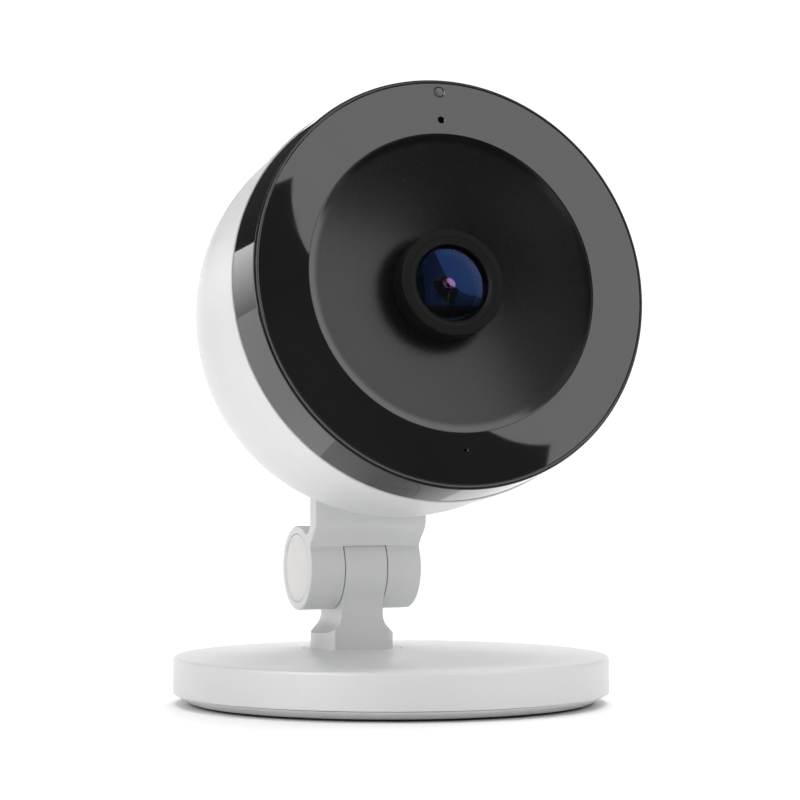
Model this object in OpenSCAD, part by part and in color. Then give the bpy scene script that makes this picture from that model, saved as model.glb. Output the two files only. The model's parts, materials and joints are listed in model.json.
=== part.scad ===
// Indoor security camera: a drum-shaped head on a two-eared neck, which tilts on an upright stem that
// swivels on a round, weighted base. Millimetres, +Z up, the lens faces -Y, and the origin is at the
// centre of the base's underside.

/* [Base] */
// Radius of the base
base_r = 39; // [38.5:0.1:41]
// Height of the base's top face above the table
base_h = 8.5; // [8.4:0.1:9.5]
// Radius of the rubber pad
pad_r = 35.4; // [33:0.1:36]
// Thickness of the rubber pad
pad_t = 0.8; // [0.6:0.1:0.9]
// Height of the seam between the base's cover and its bottom plate
seam_h = 1.9; // [1.8:0.1:2.2]

/* [Stem and hinge] */
// Distance of the stem's axis behind the middle of the base
stem_back = 19.8; // [19:0.1:21]
// Height of the hinge axis above the table
hinge_h = 23.4; // [23:0.1:26]
// Radius of the hinge barrel
hinge_r = 7.75; // [7.5:0.05:8]
// Width of the neck across both ears
neck_w = 21.7; // [21:0.1:24]
// Width of the stem's flat tongue
tongue_w = 8.1; // [7.5:0.1:8.5]
// Depth of the tongue from front to back
tongue_d = 11; // [10:0.1:11.5]
// Radius of the stem's foot
foot_r = 7.65; // [7.5:0.05:8]
// Radius of the flush disc that turns in the base's top
swivel_r = 9.1; // [8.8:0.1:9.4]

/* [Head] */
// Backward lean of the head at rest, in degrees
lean = 10.9; // [8:0.1:12]
// Height of the head's axis above the hinge
axis_up = 40.6; // [40:0.1:41.5]
// Distance of the front window's face from the hinge, along the head's axis
window_out = 57.3; // [56.5:0.1:58]
// Radius of the shell's rear dome
dome_r = 35.85; // [35.7:0.05:36]
// Distance of the dome's centre behind the window's face
dome_back = 26.55; // [26:0.05:27]
// Taper of the shell's side towards the back, in degrees
side_taper = 2.7; // [2.4:0.1:3]
// Thickness of the shell's wall
shell_t = 2; // [1.8:0.1:2.2]
// Length of the black band behind the window's face
band_l = 10.2; // [10:0.1:10.5]

/* [Front] */
// Outer radius of the front window
window_r = 35.2; // [35:0.1:35.2]
// Thickness of the front window
window_t = 1.6; // [1.4:0.1:1.6]
// Radius of the dish's edge
dish_r = 26.2; // [25.5:0.1:26.4]
// Radius of the sphere that the dish is part of
dish_curve = 70; // [68:1:80]
// Outer radius of the lens barrel
barrel_r = 9.35; // [9:0.05:9.5]
// How far the lens barrel stands in front of the window's face
barrel_out = 0; // [-0.3:0.1:0.6]
// Radius of the glass that shows in the lens
glass_r = 6.65; // [6.5:0.05:6.8]
// Number of infrared lamps round the window
lamp_count = 6; // [2:4:10]

/* [Hidden] */
$fn = 96;

// Clearances: between parts that turn, between a part and its seat, round a visible seam, and wide
run = 0.06;
seat = 0.05;
seam = 0.15;
loose = 0.4;

// How far a boss reaches into the wall that it stands on, and how far a cut runs past the face it opens
bite = 0.5;
over = 1;

// Base, from the table upwards
cover_t = 1.8;
cover_edge_r = 0.6;
cover_wall = 2;
cover_in_r = base_r - cover_wall;
cover_under = base_h - cover_t;
cover_flat_r = base_r - cover_edge_r;
plate_top = 2.4;
plate_lip_r = 38.5;
plate_foot_r = 36.2;
plate_foot_z = 0.45;
plate_ring_r = cover_in_r - 0.2;
plate_ring_t = 1.6;
plate_ring_h = 3.4;
ballast_t = 3.2;
ballast_r = 34.5;
ballast_gap_r = 12.4;
base_screw_r = 1.1;
base_screw_head_r = 2.2;
base_screw_head_t = 0.9;
base_screw_top = cover_under - 0.8;
base_hole_top = cover_under - 0.6;
base_screw_place = 20.5;
base_boss_r = 2.6;

// Swivel, round the stem's axis
swivel_t = 1;
swivel_recess = 1.3;
swivel_washer_t = 0.25;
spigot_r = 5;
spigot_z = 4.5;
swivel_boss_r = 11.2;
swivel_boss_z = 4.6;
retainer_r = 8.5;
retainer_t = 1;
stop_in_r = 9.3;
stop_out_r = 10.8;
stop_angle = 6;
swivel_screw_r = 1.5;
swivel_screw_head_r = 3;
swivel_screw_head_t = 0.8;
swivel_screw_top = 12;

// Stem above the base
foot_h = 2.9;
flare_r = foot_r - tongue_w / 2;
flare_z = base_h + foot_h + flare_r;

// Hinge
bolt_r = 2;
ear_in = tongue_w / 2 + 0.2;
ear_out = neck_w / 2;
cap_r = 6.25;
cap_t = 1.45;
cap_floor = ear_out - 1.5;
head_pocket_x = 6.6;
head_pocket_r = 3.7;
bolt_head_r = 3.5;
bolt_head_t = 2.4;
nut_r = 4.04;
nut_t = 2.3;
washer_recess = 0.5;
washer_r = 5.4;
washer_t = 0.67;
ear_gap = 0.25;
tongue_blend_r = 6;
cap_bevel = 0.25;

// Neck plate above the hinge, measured from the hinge axis
plate_front = 10.1;
plate_back = 6.9;
plate_rise = 22;
chin = [[-10.1, 8.9], [-9.85, 7.95], [-9.2, 6.8], [-7.4, 5.1], [-6.65, 3.95]];
nape_r = 2;
nape_y = -plate_back + nape_r;
nape_z = sqrt(pow(hinge_r + nape_r, 2) - pow(nape_y, 2));
nape_touch = hinge_r / (hinge_r + nape_r);
slot_gap = 0.1;
flange_w = 30;
flange_d = 10;
flange_t = 2;
flange_out = 28.5;
neck_mid_y = stem_back - (plate_front + plate_back) / 2;
neck_screw_x = 13;
neck_screw_r = 1.1;
neck_screw_head_r = 2.1;
neck_screw_head_t = 1.4;
neck_screw_l = 6.6;
neck_boss_r = 2.4;

// Head, measured along its axis from the window's face, so the inside has negative Z
dome_end_z = -dome_back - dome_r;
dome_centre = [
    stem_back - (window_out - dome_back) * cos(lean) + axis_up * sin(lean),
    hinge_h + (window_out - dome_back) * sin(lean) + axis_up * cos(lean)];
saddle_y = neck_mid_y - dome_centre[0];
saddle_lean = atan(saddle_y / sqrt(pow(dome_r - shell_t, 2) - pow(saddle_y, 2)));
saddle_angle = lean + saddle_lean - 90;
band_face_z = -0.05;
band_front_r = 35.95;
band_rear_r = 36.3;
band_bevel = 0.55;
band_skirt_r = 34.2;
band_in_r = 33;
band_skirt_z = -13.5;
window_seat_z = -window_t - 0.05;
ledge_z = -6.6;
ledge_t = 1.4;
ledge_r = 31.5;
lug_place = 28.5;
lug_angles = [90, 210, 330];
lug_r = 3;
lug_front_z = -12;
lug_arm_w = 4.8;
lug_arm_z = lug_front_z - 0.2;
lug_back_z = -20.2;
case_boss_r = 3.6;
case_boss_z = lug_back_z - 0.1;
case_head_z = -23;
case_screw_r = 1.15;
case_screw_head_r = 2.4;
case_screw_head_t = 2;
case_screw_tip_z = -14;
case_hole_r = 2.8;
plug_front_z = -dome_back - dome_r / 2 + 2.5;
plug_sunk = 0.02;

// Marks on the window, as distances from the head's axis, and what lies behind them
window_edge = 0.15;
status_light_up = 33.7;
status_light_r = 0.85;
pipe_foot_y = 30.8;
pipe_foot_z = -3;
pipe_foot_t = 0.9;
pipe_sunk = 0.02;
notch_z = -4;
notch_d = 3.5;
light_hole_up = 28.7;
light_hole_r = 0.55;
mic_hole_down = 29.15;
mic_hole_r = 0.3;
status_led_size = [1.6, 1.2, 0.7];
status_led_up = 31.4;
light_chip_size = [1.6, 1.8, 0.8];
light_chip_up = light_hole_up - 1.2;
mic_size = [3.6, 2.8, 1.1];
mic_port_r = 0.4;
mic_port_d = 0.5;

// Dish
dish_t = 1.5;
dish_centre_z = sqrt(pow(dish_curve, 2) - pow(dish_r, 2));
dish_flange_r = 28;
dish_flange_t = 1.05;
dish_flange_z = window_seat_z - dish_flange_t;
dish_hole_r = barrel_r + seat;
dish_collar_t = 1.25;
dish_collar_z = -7;
dish_collar_h = 3;
post_place = 12;
post_r = 2.4;
post_z = -17.4;
post_top_z = -4;
board_screw_r = 1;

// Lens
barrel_bevel = [0.3, 0.35];
barrel_bore_r = 3.5;
barrel_step_z = -7.4;
thread_r = 6.5;
thread_z = -13.4;
retainer_out_r = 7.85;
retainer_back_z = barrel_out - 1.35;
retainer_front_z = barrel_out - 0.25;
retainer_lip = 0.45;
front_lens_r = 7.2;
front_lens_curve = 17.5;
front_lens_top = barrel_out - 0.1;
front_lens_back = -3.3;
front_lens_hollow = 9;
front_lens_hollow_z = -11.3;
mid_lens_r = 5.2;
mid_lens_z = [-6.6, -4.4];
rear_lens_r = 4.2;
rear_lens_z = [-12.4, -9.8];
rear_lens_curve = 12;
lens_stop = 0.1;

// Lens holder and the filter that slides across the light's path
holder_w = 24;
holder_d = 18;
holder_top_z = -13;
tower_r = 8.2;
tower_top_z = -9;
light_path_r = 3.25;
filter_slot_z = [-15.2, -14];
filter_mid_z = (filter_slot_z[0] + filter_slot_z[1]) / 2;
filter_slot_d = 7.8;
filter_step = 6.5;
carriage_t = 1;
carriage_d = 7.5;
carriage_l = 14;
filter_glass_r = 2.65;
filter_glass_t = 0.5;
filter_glass_sunk = 0.02;
filter_lip = 0.3;
actuator_size = [8, 3.4];
actuator_down = 10.8;
actuator_top_z = -13.5;
sensor_well = 9;
sensor_w = 8;
sensor_cover_w = 7;
sensor_z = [post_z, post_z + 0.9, post_z + 1.2];

// Boards
sensor_board_w = 30;
sensor_board_t = 1.2;
sensor_board_z = post_z - sensor_board_t;
spacer_l = 10;
spacer_r = 2.4;
main_board_r = 24;
main_board_t = 1.4;
main_board_z = sensor_board_z - spacer_l - main_board_t;
chip_w = 12;
chip_t = 1.2;
thermal_pad_t = 0.8;
spreader_t = 1.5;
spreader_r = 21;
spreader_z = main_board_z - chip_t - thermal_pad_t - spreader_t;
board_screw_head_r = 1.9;
board_screw_head_t = 1.4;
board_screw_tip_z = -11;
led_board_in_r = 21;
led_board_t = 1.2;
led_board_z = ledge_z;
led_board_top = led_board_z + led_board_t;
lamp_place = 30;
lamp_w = 3.5;
lamp_t = 2.4;
lamp_dome_r = 1.5;
lamp_dome_t = 1;
antenna_r = [33, 33.45];
antenna_z = [-30, -22.5];
antenna_half_angle = 17;
antenna_direction = 60;
flex_size = [8, 0.3];
flex_up = sensor_board_w / 2 - 1;
lamp_cable_x = 22.4;
lamp_cable_size = [0.6, 5];

// Back of the shell
inlet_y = -14;
inlet_w = 7.6;
inlet_h = 2.8;
inlet_front_z = -56.3;
inlet_floor_z = -56.5;
inlet_floor_t = 1.5;
inlet_pocket_w = 13;
inlet_pocket_h = 7;
inlet_rim = 1.5;
inlet_fit = 0.2;
inlet_sleeve_t = 0.3;
inlet_sleeve_floor = 1.2;
inlet_tongue = [4.6, 0.7];
inlet_tongue_z = inlet_front_z + 0.8;
inlet_board_z = -49.8;
inlet_board_t = 1;
inlet_board_w = 20;
inlet_board_y = [-20.5, 1];
inlet_cable_y = -13;
inlet_cable_size = [5, 0.6];
inlet_cable_slot = [8, 3];
inlet_boss_places = [[-7.5, -2.5], [7.5, -2.5], [0, -18.6]];
inlet_boss_r = 1.8;
inlet_screw_r = 0.9;
inlet_screw_head_r = 1.6;
inlet_screw_head_t = 1.2;
inlet_screw_l = 3.5;
inlet_screw_hole_z = inlet_board_z - 2.7;
button_y = -5.2;
button_r = 2.2;
button_tip_z = -62.7;
button_flange_r = 3.1;
button_flange_z = [-59.2, -58.4];
button_stem_r = 1.2;
button_stem_z = -54.6;
button_travel = 0.5;
switch_w = 6;
switch_t = 3.1;
switch_plunger_r = 1.6;
switch_plunger_z = button_stem_z + button_travel + 0.1;

// Places a child, modelled along +Z with +Y up, on the head: Z = 0 is the window's face
module on_head() {
    translate([0, stem_back, hinge_h])
        rotate([90 - lean, 0, 0])
            translate([0, axis_up, window_out])
                children();
}

// Places a child on the hinge axis
module on_hinge() {
    translate([0, stem_back, hinge_h])
        children();
}

// Extrudes an outline drawn in Y and Z to both sides of X = 0
module across(width) {
    rotate([90, 0, 90])
        linear_extrude(height = width, center = true)
            children();
}

// A cylinder between two heights
module rod(r, z0, z1) {
    translate([0, 0, min(z0, z1)])
        cylinder(r = r, h = abs(z1 - z0));
}

// A flat ring between two heights
module ring(r_in, r_out, z0, z1) {
    difference() {
        rod(r_out, z0, z1);
        rod(r_in, min(z0, z1) - over, max(z0, z1) + over);
    }
}

// A block centred on X and Y between two heights
module slab(w, d, z0, z1) {
    translate([-w / 2, -d / 2, min(z0, z1)])
        cube([w, d, abs(z1 - z0)]);
}

// The same child at the four corners of a square
module at_corners(place) {
    for (x = [-place, place], y = [-place, place])
        translate([x, y, 0])
            children();
}

// A sector of a ring, centred on a direction
module sector(r_in, r_out, z0, z1, half_angle, direction) {
    translate([0, 0, z0])
        rotate([0, 0, direction - half_angle])
            rotate_extrude(angle = 2 * half_angle)
                translate([r_in, 0])
                    square([r_out - r_in, z1 - z0]);
}

// ---- Base ----

module rubber_pad() {
    color("#161616")
        rod(pad_r, 0, pad_t);
}

module base_plate() {
    color("#d8d8d8")
        difference() {
            rotate_extrude()
                polygon([[0, pad_t], [pad_r + loose, pad_t], [pad_r + loose, plate_foot_z],
                    [plate_foot_r, plate_foot_z], [plate_lip_r, seam_h],
                    [plate_ring_r, seam_h], [plate_ring_r, plate_ring_h],
                    [plate_ring_r - plate_ring_t, plate_ring_h],
                    [plate_ring_r - plate_ring_t, plate_top], [0, plate_top]]);
            at_corners(base_screw_place) {
                rod(base_screw_r + seat, 0, plate_top + over);
                rod(base_screw_head_r + seat, 0, pad_t + base_screw_head_t + seat);
            }
        }
}

module base_cover() {
    color("#f2f2f2")
        difference() {
            union() {
                rotate_extrude()
                    difference() {
                        cover_outline();
                        translate([-over, 0])
                            square([cover_in_r + over, cover_under]);
                    }
                at_corners(base_screw_place)
                    rod(base_boss_r, plate_top, cover_under + bite);
                translate([0, stem_back, 0]) {
                    rod(swivel_boss_r, swivel_boss_z, cover_under + bite);
                    sector(stop_in_r, stop_out_r, spigot_z - retainer_t, swivel_boss_z + bite,
                        stop_angle, -90);
                }
            }
            at_corners(base_screw_place)
                rod(base_screw_r + seat, 0, base_hole_top);
            translate([0, stem_back, 0]) {
                rod(spigot_r + run, 0, base_h + over);
                rod(swivel_r + seam, base_h - swivel_recess, base_h + over);
            }
        }
}

// Half outline of the base's cover, with its rounded top edge
module cover_outline() {
    translate([0, seam_h]) {
        square([base_r, base_h - cover_edge_r - seam_h]);
        square([cover_flat_r, base_h - seam_h]);
    }
    translate([cover_flat_r, base_h - cover_edge_r])
        circle(cover_edge_r);
}

module ballast_plate() {
    color("#8d9094")
        difference() {
            rod(ballast_r, plate_top, plate_top + ballast_t);
            translate([0, stem_back, 0])
                rod(ballast_gap_r, 0, base_h);
            at_corners(base_screw_place)
                rod(base_boss_r + loose, 0, base_h);
        }
}

module base_screws() {
    color("#a8a8a8")
        at_corners(base_screw_place) {
            rod(base_screw_head_r, pad_t, pad_t + base_screw_head_t);
            rod(base_screw_r, pad_t, base_screw_top);
        }
}

module swivel_washer() {
    color("#e8e4d8")
        translate([0, stem_back, 0])
            ring(spigot_r + loose, swivel_r - seam, base_h - swivel_recess,
                base_h - swivel_recess + swivel_washer_t);
}

module swivel_retainer() {
    color("#b8b8b8")
        translate([0, stem_back, 0])
            difference() {
                union() {
                    rod(retainer_r, spigot_z - retainer_t, spigot_z);
                    sector(retainer_r - bite, stop_out_r - seam, spigot_z - retainer_t, spigot_z,
                        stop_angle, 90);
                }
                rod(swivel_screw_r + seat, 0, base_h);
            }
}

module swivel_screw() {
    color("#a8a8a8")
        translate([0, stem_back, 0]) {
            rod(swivel_screw_head_r, spigot_z - retainer_t - swivel_screw_head_t,
                spigot_z - retainer_t);
            rod(swivel_screw_r, spigot_z - retainer_t, swivel_screw_top);
        }
}

// ---- Stem and hinge ----

// Front view of the stem: a round foot that draws in to the flat tongue
module stem_front() {
    difference() {
        translate([-foot_r, base_h])
            square([2 * foot_r, hinge_h - base_h]);
        for (side = [-1, 1]) {
            translate([side * foot_r, flare_z])
                circle(flare_r);
            translate([side > 0 ? tongue_w / 2 : -foot_r - over, flare_z])
                square([foot_r + over - tongue_w / 2, hinge_h]);
        }
    }
}

// Side view of the tongue's round top, in Y and Z from the hinge axis, with the hollow curves that
// lead down to its front and back faces
module tongue_side() {
    blend_y = tongue_d / 2 + tongue_blend_r;
    blend_z = -sqrt(pow(hinge_r + tongue_blend_r, 2) - pow(blend_y, 2));
    touch = hinge_r / (hinge_r + tongue_blend_r);
    circle(hinge_r);
    for (side = [-1, 1])
        difference() {
            polygon([[0, 0], [side * blend_y * touch, blend_z * touch], [side * blend_y, blend_z],
                [0, blend_z]]);
            translate([side * blend_y, blend_z])
                circle(tongue_blend_r);
        }
}

module stem() {
    color("#f2f2f2")
        difference() {
            union() {
                on_hinge()
                    across(tongue_w)
                        tongue_side();
                translate([0, stem_back, 0]) {
                    intersection() {
                        rotate([90, 0, 0])
                            linear_extrude(height = tongue_d, center = true)
                                stem_front();
                        rod(foot_r, base_h, hinge_h);
                    }
                    rod(swivel_r, base_h - swivel_t, base_h);
                    rod(spigot_r, spigot_z, base_h);
                }
            }
            on_hinge() {
                across(neck_w)
                    circle(bolt_r + run);
                for (side = [-1, 1])
                    translate([side * (tongue_w - washer_recess + over) / 2, 0, 0])
                        across(washer_recess + over)
                            circle(washer_r + seat);
            }
            translate([0, stem_back, 0])
                rod(swivel_screw_r + seat, 0, swivel_screw_top + loose);
        }
}

module hinge_washers() {
    color("#c9c9c9")
        on_hinge()
            for (side = [-1, 1])
                translate([side * (tongue_w / 2 - washer_recess + washer_t / 2), 0, 0])
                    across(washer_t)
                        difference() {
                            circle(washer_r);
                            circle(bolt_r + run);
                        }
}

// Side view of the neck, in Y and Z from the hinge axis: the barrel and the upright plate above it
module neck_side() {
    difference() {
        union() {
            circle(hinge_r);
            polygon(concat([[-plate_front, plate_rise]], chin, [[0, 0],
                [nape_y * nape_touch, nape_z * nape_touch], [nape_y, nape_z],
                [-plate_back, nape_z], [-plate_back, plate_rise]]));
        }
        translate([nape_y, nape_z])
            circle(nape_r);
    }
}

// Places a child on the inside of the shell above the neck: Z = 0 is the centre of the dome and -Z
// points down through the neck
module on_saddle() {
    on_head()
        translate([0, 0, -dome_back])
            rotate([saddle_angle, 0, 0])
                children();
}

module neck_bracket() {
    color("#f2f2f2")
        difference() {
            union() {
                on_hinge()
                    across(neck_w)
                        neck_side();
                on_saddle()
                    slab(flange_w, flange_d, -flange_out, -flange_out + flange_t);
            }
            on_hinge() {
                across(2 * ear_in)
                    circle(hinge_r + ear_gap);
                translate([0, 0, -hinge_r])
                    cube([2 * ear_in, 4 * hinge_r, 2 * hinge_r], center = true);
                across(neck_w + over)
                    circle(bolt_r + seat);
                for (side = [-1, 1])
                    translate([side * (cap_floor + ear_out) / 2, 0, 0])
                        across(ear_out - cap_floor)
                            circle(cap_r + seat);
                translate([-(head_pocket_x + ear_out) / 2, 0, 0])
                    across(ear_out - head_pocket_x)
                        circle(head_pocket_r);
                translate([(head_pocket_x + ear_out) / 2, 0, 0])
                    across(ear_out - head_pocket_x)
                        circle(nut_r + seat, $fn = 6);
            }
            on_saddle()
                for (x = [-neck_screw_x, neck_screw_x])
                    translate([x, 0, 0])
                        rod(neck_screw_r + seat, -dome_r, 0);
        }
}

module hinge_bolt() {
    color("#9a9a9a")
        on_hinge()
            rotate([0, 90, 0]) {
                rod(bolt_head_r, -head_pocket_x - bolt_head_t, -head_pocket_x);
                rod(bolt_r, -head_pocket_x, head_pocket_x + nut_t);
            }
}

module hinge_nut() {
    color("#9a9a9a")
        on_hinge()
            translate([head_pocket_x + nut_t / 2, 0, 0])
                across(nut_t)
                    difference() {
                        circle(nut_r, $fn = 6);
                        circle(bolt_r + seat);
                    }
}

// A cap for an ear's outer face, with a small bevel round its edge
module hinge_cap(side) {
    on_hinge()
        rotate([0, 90 * side, 0])
            translate([0, 0, cap_floor])
                rotate_extrude()
                    polygon([[0, 0], [cap_r, 0], [cap_r, cap_t - cap_bevel],
                        [cap_r - cap_bevel, cap_t], [0, cap_t]]);
}

module left_cap() {
    color("#f4f3f1")
        hinge_cap(-1);
}

module right_cap() {
    color("#f4f3f1")
        hinge_cap(1);
}

module neck_screws() {
    color("#9a9a9a")
        on_saddle()
            for (x = [-neck_screw_x, neck_screw_x])
                translate([x, 0, -flange_out + flange_t]) {
                    rod(neck_screw_head_r, 0, neck_screw_head_t);
                    rod(neck_screw_r, -neck_screw_l, 0);
                }
}

// ---- Head: outside ----

// Half outline of the rear shell, pulled in by inset, from the back up to front_z
module dome_outline(inset, front_z) {
    r = dome_r - inset;
    tangent_z = -dome_back + r * sin(side_taper);
    tangent_r = r * cos(side_taper);
    intersection() {
        translate([0, -dome_back])
            circle(r, $fn = 180);
        translate([0, -dome_back - r])
            square([r, tangent_z + dome_back + r]);
    }
    polygon([[0, tangent_z], [tangent_r, tangent_z],
        [tangent_r + (front_z - tangent_z) * tan(side_taper), front_z], [0, front_z]]);
}

// The same child at each of the three case screws
module at_lugs() {
    for (a = lug_angles)
        translate([lug_place * cos(a), lug_place * sin(a), 0])
            children();
}

module rear_shell() {
    color("#f5f5f5")
        difference() {
            on_head()
                difference() {
                    union() {
                        rotate_extrude()
                            difference() {
                                dome_outline(0, -band_l);
                                dome_outline(shell_t, 0);
                            }
                        intersection() {
                            rotate_extrude()
                                dome_outline(shell_t / 2, -band_l);
                            shell_bosses();
                        }
                    }
                    at_lugs() {
                        rod(case_screw_r + seat, case_boss_z + over, dome_end_z);
                        rod(case_hole_r, case_head_z, dome_end_z);
                    }
                    shell_back_openings();
                }
            on_hinge()
                translate([0, -(plate_front + plate_back) / 2, dome_r / 2])
                    cube([neck_w + 2 * slot_gap, plate_front - plate_back + 2 * slot_gap,
                        dome_r / 2], center = true);
            on_saddle()
                for (x = [-neck_screw_x, neck_screw_x])
                    translate([x, 0, 0])
                        rod(neck_screw_r + seat, -flange_out + flange_t - neck_screw_l - seam, 0);
        }
}

// Bosses and thickenings inside the rear shell, before they are cut to the dome
module shell_bosses() {
    at_lugs()
        rod(case_boss_r, case_boss_z, dome_end_z);
    for (p = inlet_boss_places)
        translate([p[0], p[1], 0])
            rod(inlet_boss_r, inlet_board_z, dome_end_z);
    translate([0, inlet_y, 0])
        slab(inlet_pocket_w + 2 * inlet_rim, inlet_pocket_h + 2 * inlet_rim,
            inlet_floor_z + inlet_floor_t, dome_end_z);
    translate([0, 0, -dome_back])
        rotate([saddle_angle, 0, 0])
            for (x = [-neck_screw_x, neck_screw_x])
                translate([x, 0, 0])
                    rod(neck_boss_r, -dome_r, -flange_out);
}

// Holes through the back of the shell, for the inlet, its screws and the reset button
module shell_back_openings() {
    for (p = inlet_boss_places)
        translate([p[0], p[1], 0])
            rod(inlet_screw_r + seat, inlet_screw_hole_z, inlet_board_z + over);
    translate([0, inlet_y, 0]) {
        slab(inlet_pocket_w, inlet_pocket_h, inlet_floor_z, dome_end_z);
        slab(inlet_w + 2 * inlet_fit, inlet_h + 2 * inlet_fit, inlet_floor_z - over,
            inlet_floor_z + inlet_floor_t + over);
    }
    translate([0, button_y, 0])
        rod(button_r + run, dome_end_z - over, button_stem_z);
}

module case_screws() {
    color("#9a9a9a")
        on_head()
            at_lugs() {
                rod(case_screw_head_r, case_head_z - case_screw_head_t, case_head_z);
                rod(case_screw_r, case_head_z, case_screw_tip_z);
            }
}

// Soft plugs that close the case screws' holes, cut to the dome
module screw_plugs() {
    color("#f5f5f5")
        on_head()
            intersection() {
                at_lugs()
                    rod(case_hole_r - seat, dome_end_z, plug_front_z);
                rotate_extrude()
                    dome_outline(plug_sunk, -band_l);
            }
}

module bezel_band() {
    color("#1b1b1b")
        on_head()
            difference() {
                union() {
                    rotate_extrude()
                        polygon([[window_r + seat, window_seat_z], [window_r + seat, band_face_z],
                            [band_front_r - band_bevel, band_face_z],
                            [band_front_r, band_face_z - band_bevel],
                            [band_rear_r, -band_l], [band_skirt_r, -band_l],
                            [band_skirt_r, band_skirt_z], [band_in_r, band_skirt_z],
                            [band_in_r, ledge_z - ledge_t], [ledge_r, ledge_z - ledge_t],
                            [ledge_r, ledge_z], [band_in_r, ledge_z], [band_in_r, window_seat_z]]);
                    at_lugs()
                        rod(lug_r, lug_back_z, lug_front_z);
                    for (a = lug_angles)
                        rotate([0, 0, a])
                            translate([lug_place, -lug_arm_w / 2, band_skirt_z])
                                cube([band_in_r + bite - lug_place, lug_arm_w,
                                    lug_arm_z - band_skirt_z]);
                }
                at_lugs()
                    rod(case_screw_r + seat, lug_back_z - over, lug_front_z - over);
                light_pipe_notch();
            }
}

// Room for the status light's pipe in the band's window seat
module light_pipe_notch() {
    notch_r = status_light_r + seam;
    translate([-notch_r, band_in_r - over, notch_z])
        cube([2 * notch_r, status_light_up + notch_r - band_in_r + over, notch_d]);
}

module front_window() {
    color("#222426")
        on_head()
            difference() {
                rotate_extrude()
                    polygon([[dish_r + seat, -window_t], [window_r, -window_t],
                        [window_r, -window_edge], [window_r - window_edge, 0],
                        [dish_r + seat, 0]]);
                window_hole(status_light_up, status_light_r + seat);
                window_hole(light_hole_up, light_hole_r);
                window_hole(-mic_hole_down, mic_hole_r);
            }
}

module window_hole(up, r) {
    translate([0, up, 0])
        rod(r, -window_t - over, over);
}

module dish() {
    color("#3a3a3a")
        on_head()
            difference() {
                union() {
                    rotate_extrude()
                        dish_outline();
                    at_corners(post_place)
                        rod(post_r, post_z, post_top_z);
                }
                at_corners(post_place)
                    rod(board_screw_r + seat, post_z - over, board_screw_tip_z + loose);
            }
}

// Half outline of the dish: a thin bowl, a flange behind the window and a collar round the barrel
module dish_outline() {
    difference() {
        union() {
            intersection() {
                translate([0, dish_centre_z])
                    circle(dish_curve + dish_t, $fn = 360);
                translate([dish_hole_r, dish_collar_z])
                    square([dish_r - dish_hole_r, -dish_collar_z]);
            }
            translate([dish_r - over, dish_flange_z]) {
                square([dish_flange_r - dish_r + over, dish_flange_t]);
                square([over, -dish_flange_z]);
            }
            translate([dish_hole_r, dish_collar_z])
                square([dish_collar_t, dish_collar_h]);
        }
        translate([0, dish_centre_z])
            circle(dish_curve, $fn = 360);
    }
}

// ---- Lens ----

module lens_barrel() {
    color("#141414")
        on_head()
            rotate_extrude()
                polygon([[retainer_out_r + seat, barrel_out], [barrel_r - barrel_bevel[0], barrel_out],
                    [barrel_r, barrel_out - barrel_bevel[1]], [barrel_r, barrel_step_z],
                    [thread_r, barrel_step_z], [thread_r, thread_z],
                    [barrel_bore_r, thread_z], [barrel_bore_r, rear_lens_z[0] - lens_stop],
                    [rear_lens_r + seat, rear_lens_z[0] - lens_stop],
                    [rear_lens_r + seat, mid_lens_z[0] - lens_stop],
                    [mid_lens_r + seat, mid_lens_z[0] - lens_stop],
                    [mid_lens_r + seat, front_lens_back - lens_stop],
                    [front_lens_r + seat, front_lens_back - lens_stop],
                    [front_lens_r + seat, retainer_back_z - seat],
                    [retainer_out_r + seat, retainer_back_z - seat]]);
}

module lens_retainer() {
    color("#1d1d1d")
        on_head()
            rotate_extrude()
                polygon([[glass_r, retainer_back_z], [retainer_out_r, retainer_back_z],
                    [retainer_out_r, retainer_front_z], [glass_r + retainer_lip, retainer_front_z],
                    [glass_r, retainer_front_z - retainer_lip]]);
}

// The front lens: a domed element with a hollowed back
module front_lens() {
    color("#1d2f66")
        on_head()
            rotate_extrude()
                difference() {
                    intersection() {
                        translate([0, front_lens_top - front_lens_curve])
                            circle(front_lens_curve, $fn = 180);
                        translate([0, front_lens_back])
                            square([front_lens_r, front_lens_top - front_lens_back]);
                    }
                    translate([0, front_lens_hollow_z])
                        circle(front_lens_hollow, $fn = 180);
                }
}

// A lens element between two heights that bulges to both sides
module bulging_lens(r, z) {
    rotate_extrude()
        intersection() {
            translate([0, z[1] - rear_lens_curve])
                circle(rear_lens_curve, $fn = 180);
            translate([0, z[0] + rear_lens_curve])
                circle(rear_lens_curve, $fn = 180);
            translate([0, z[0]])
                square([r, z[1] - z[0]]);
        }
}

module rear_lenses() {
    color("#3a5a86")
        on_head() {
            bulging_lens(mid_lens_r, mid_lens_z);
            bulging_lens(rear_lens_r, rear_lens_z);
        }
}

module lens_holder() {
    color("#202020")
        on_head()
            difference() {
                union() {
                    slab(holder_w, holder_d, post_z, holder_top_z);
                    rod(tower_r, holder_top_z, tower_top_z);
                }
                rod(thread_r + seat, thread_z - seam, tower_top_z + over);
                rod(light_path_r, post_z, holder_top_z);
                slab(sensor_well, sensor_well, post_z - over, filter_slot_z[0]);
                slab(holder_w + over, filter_slot_d, filter_slot_z[0], filter_slot_z[1]);
            }
}

// The two glasses sit in the carriage, and either one can be on the axis
module filter_carriage() {
    color("#2a2a2a")
        on_head()
            translate([0, 0, filter_mid_z])
                difference() {
                    translate([-filter_step / 2, 0, 0])
                        slab(carriage_l, carriage_d, -carriage_t / 2, carriage_t / 2);
                    for (x = [0, -filter_step])
                        translate([x, 0, 0]) {
                            rod(filter_glass_r, -filter_glass_t / 2, carriage_t);
                            rod(filter_glass_r - filter_lip, -carriage_t, 0);
                        }
                }
}

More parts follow.
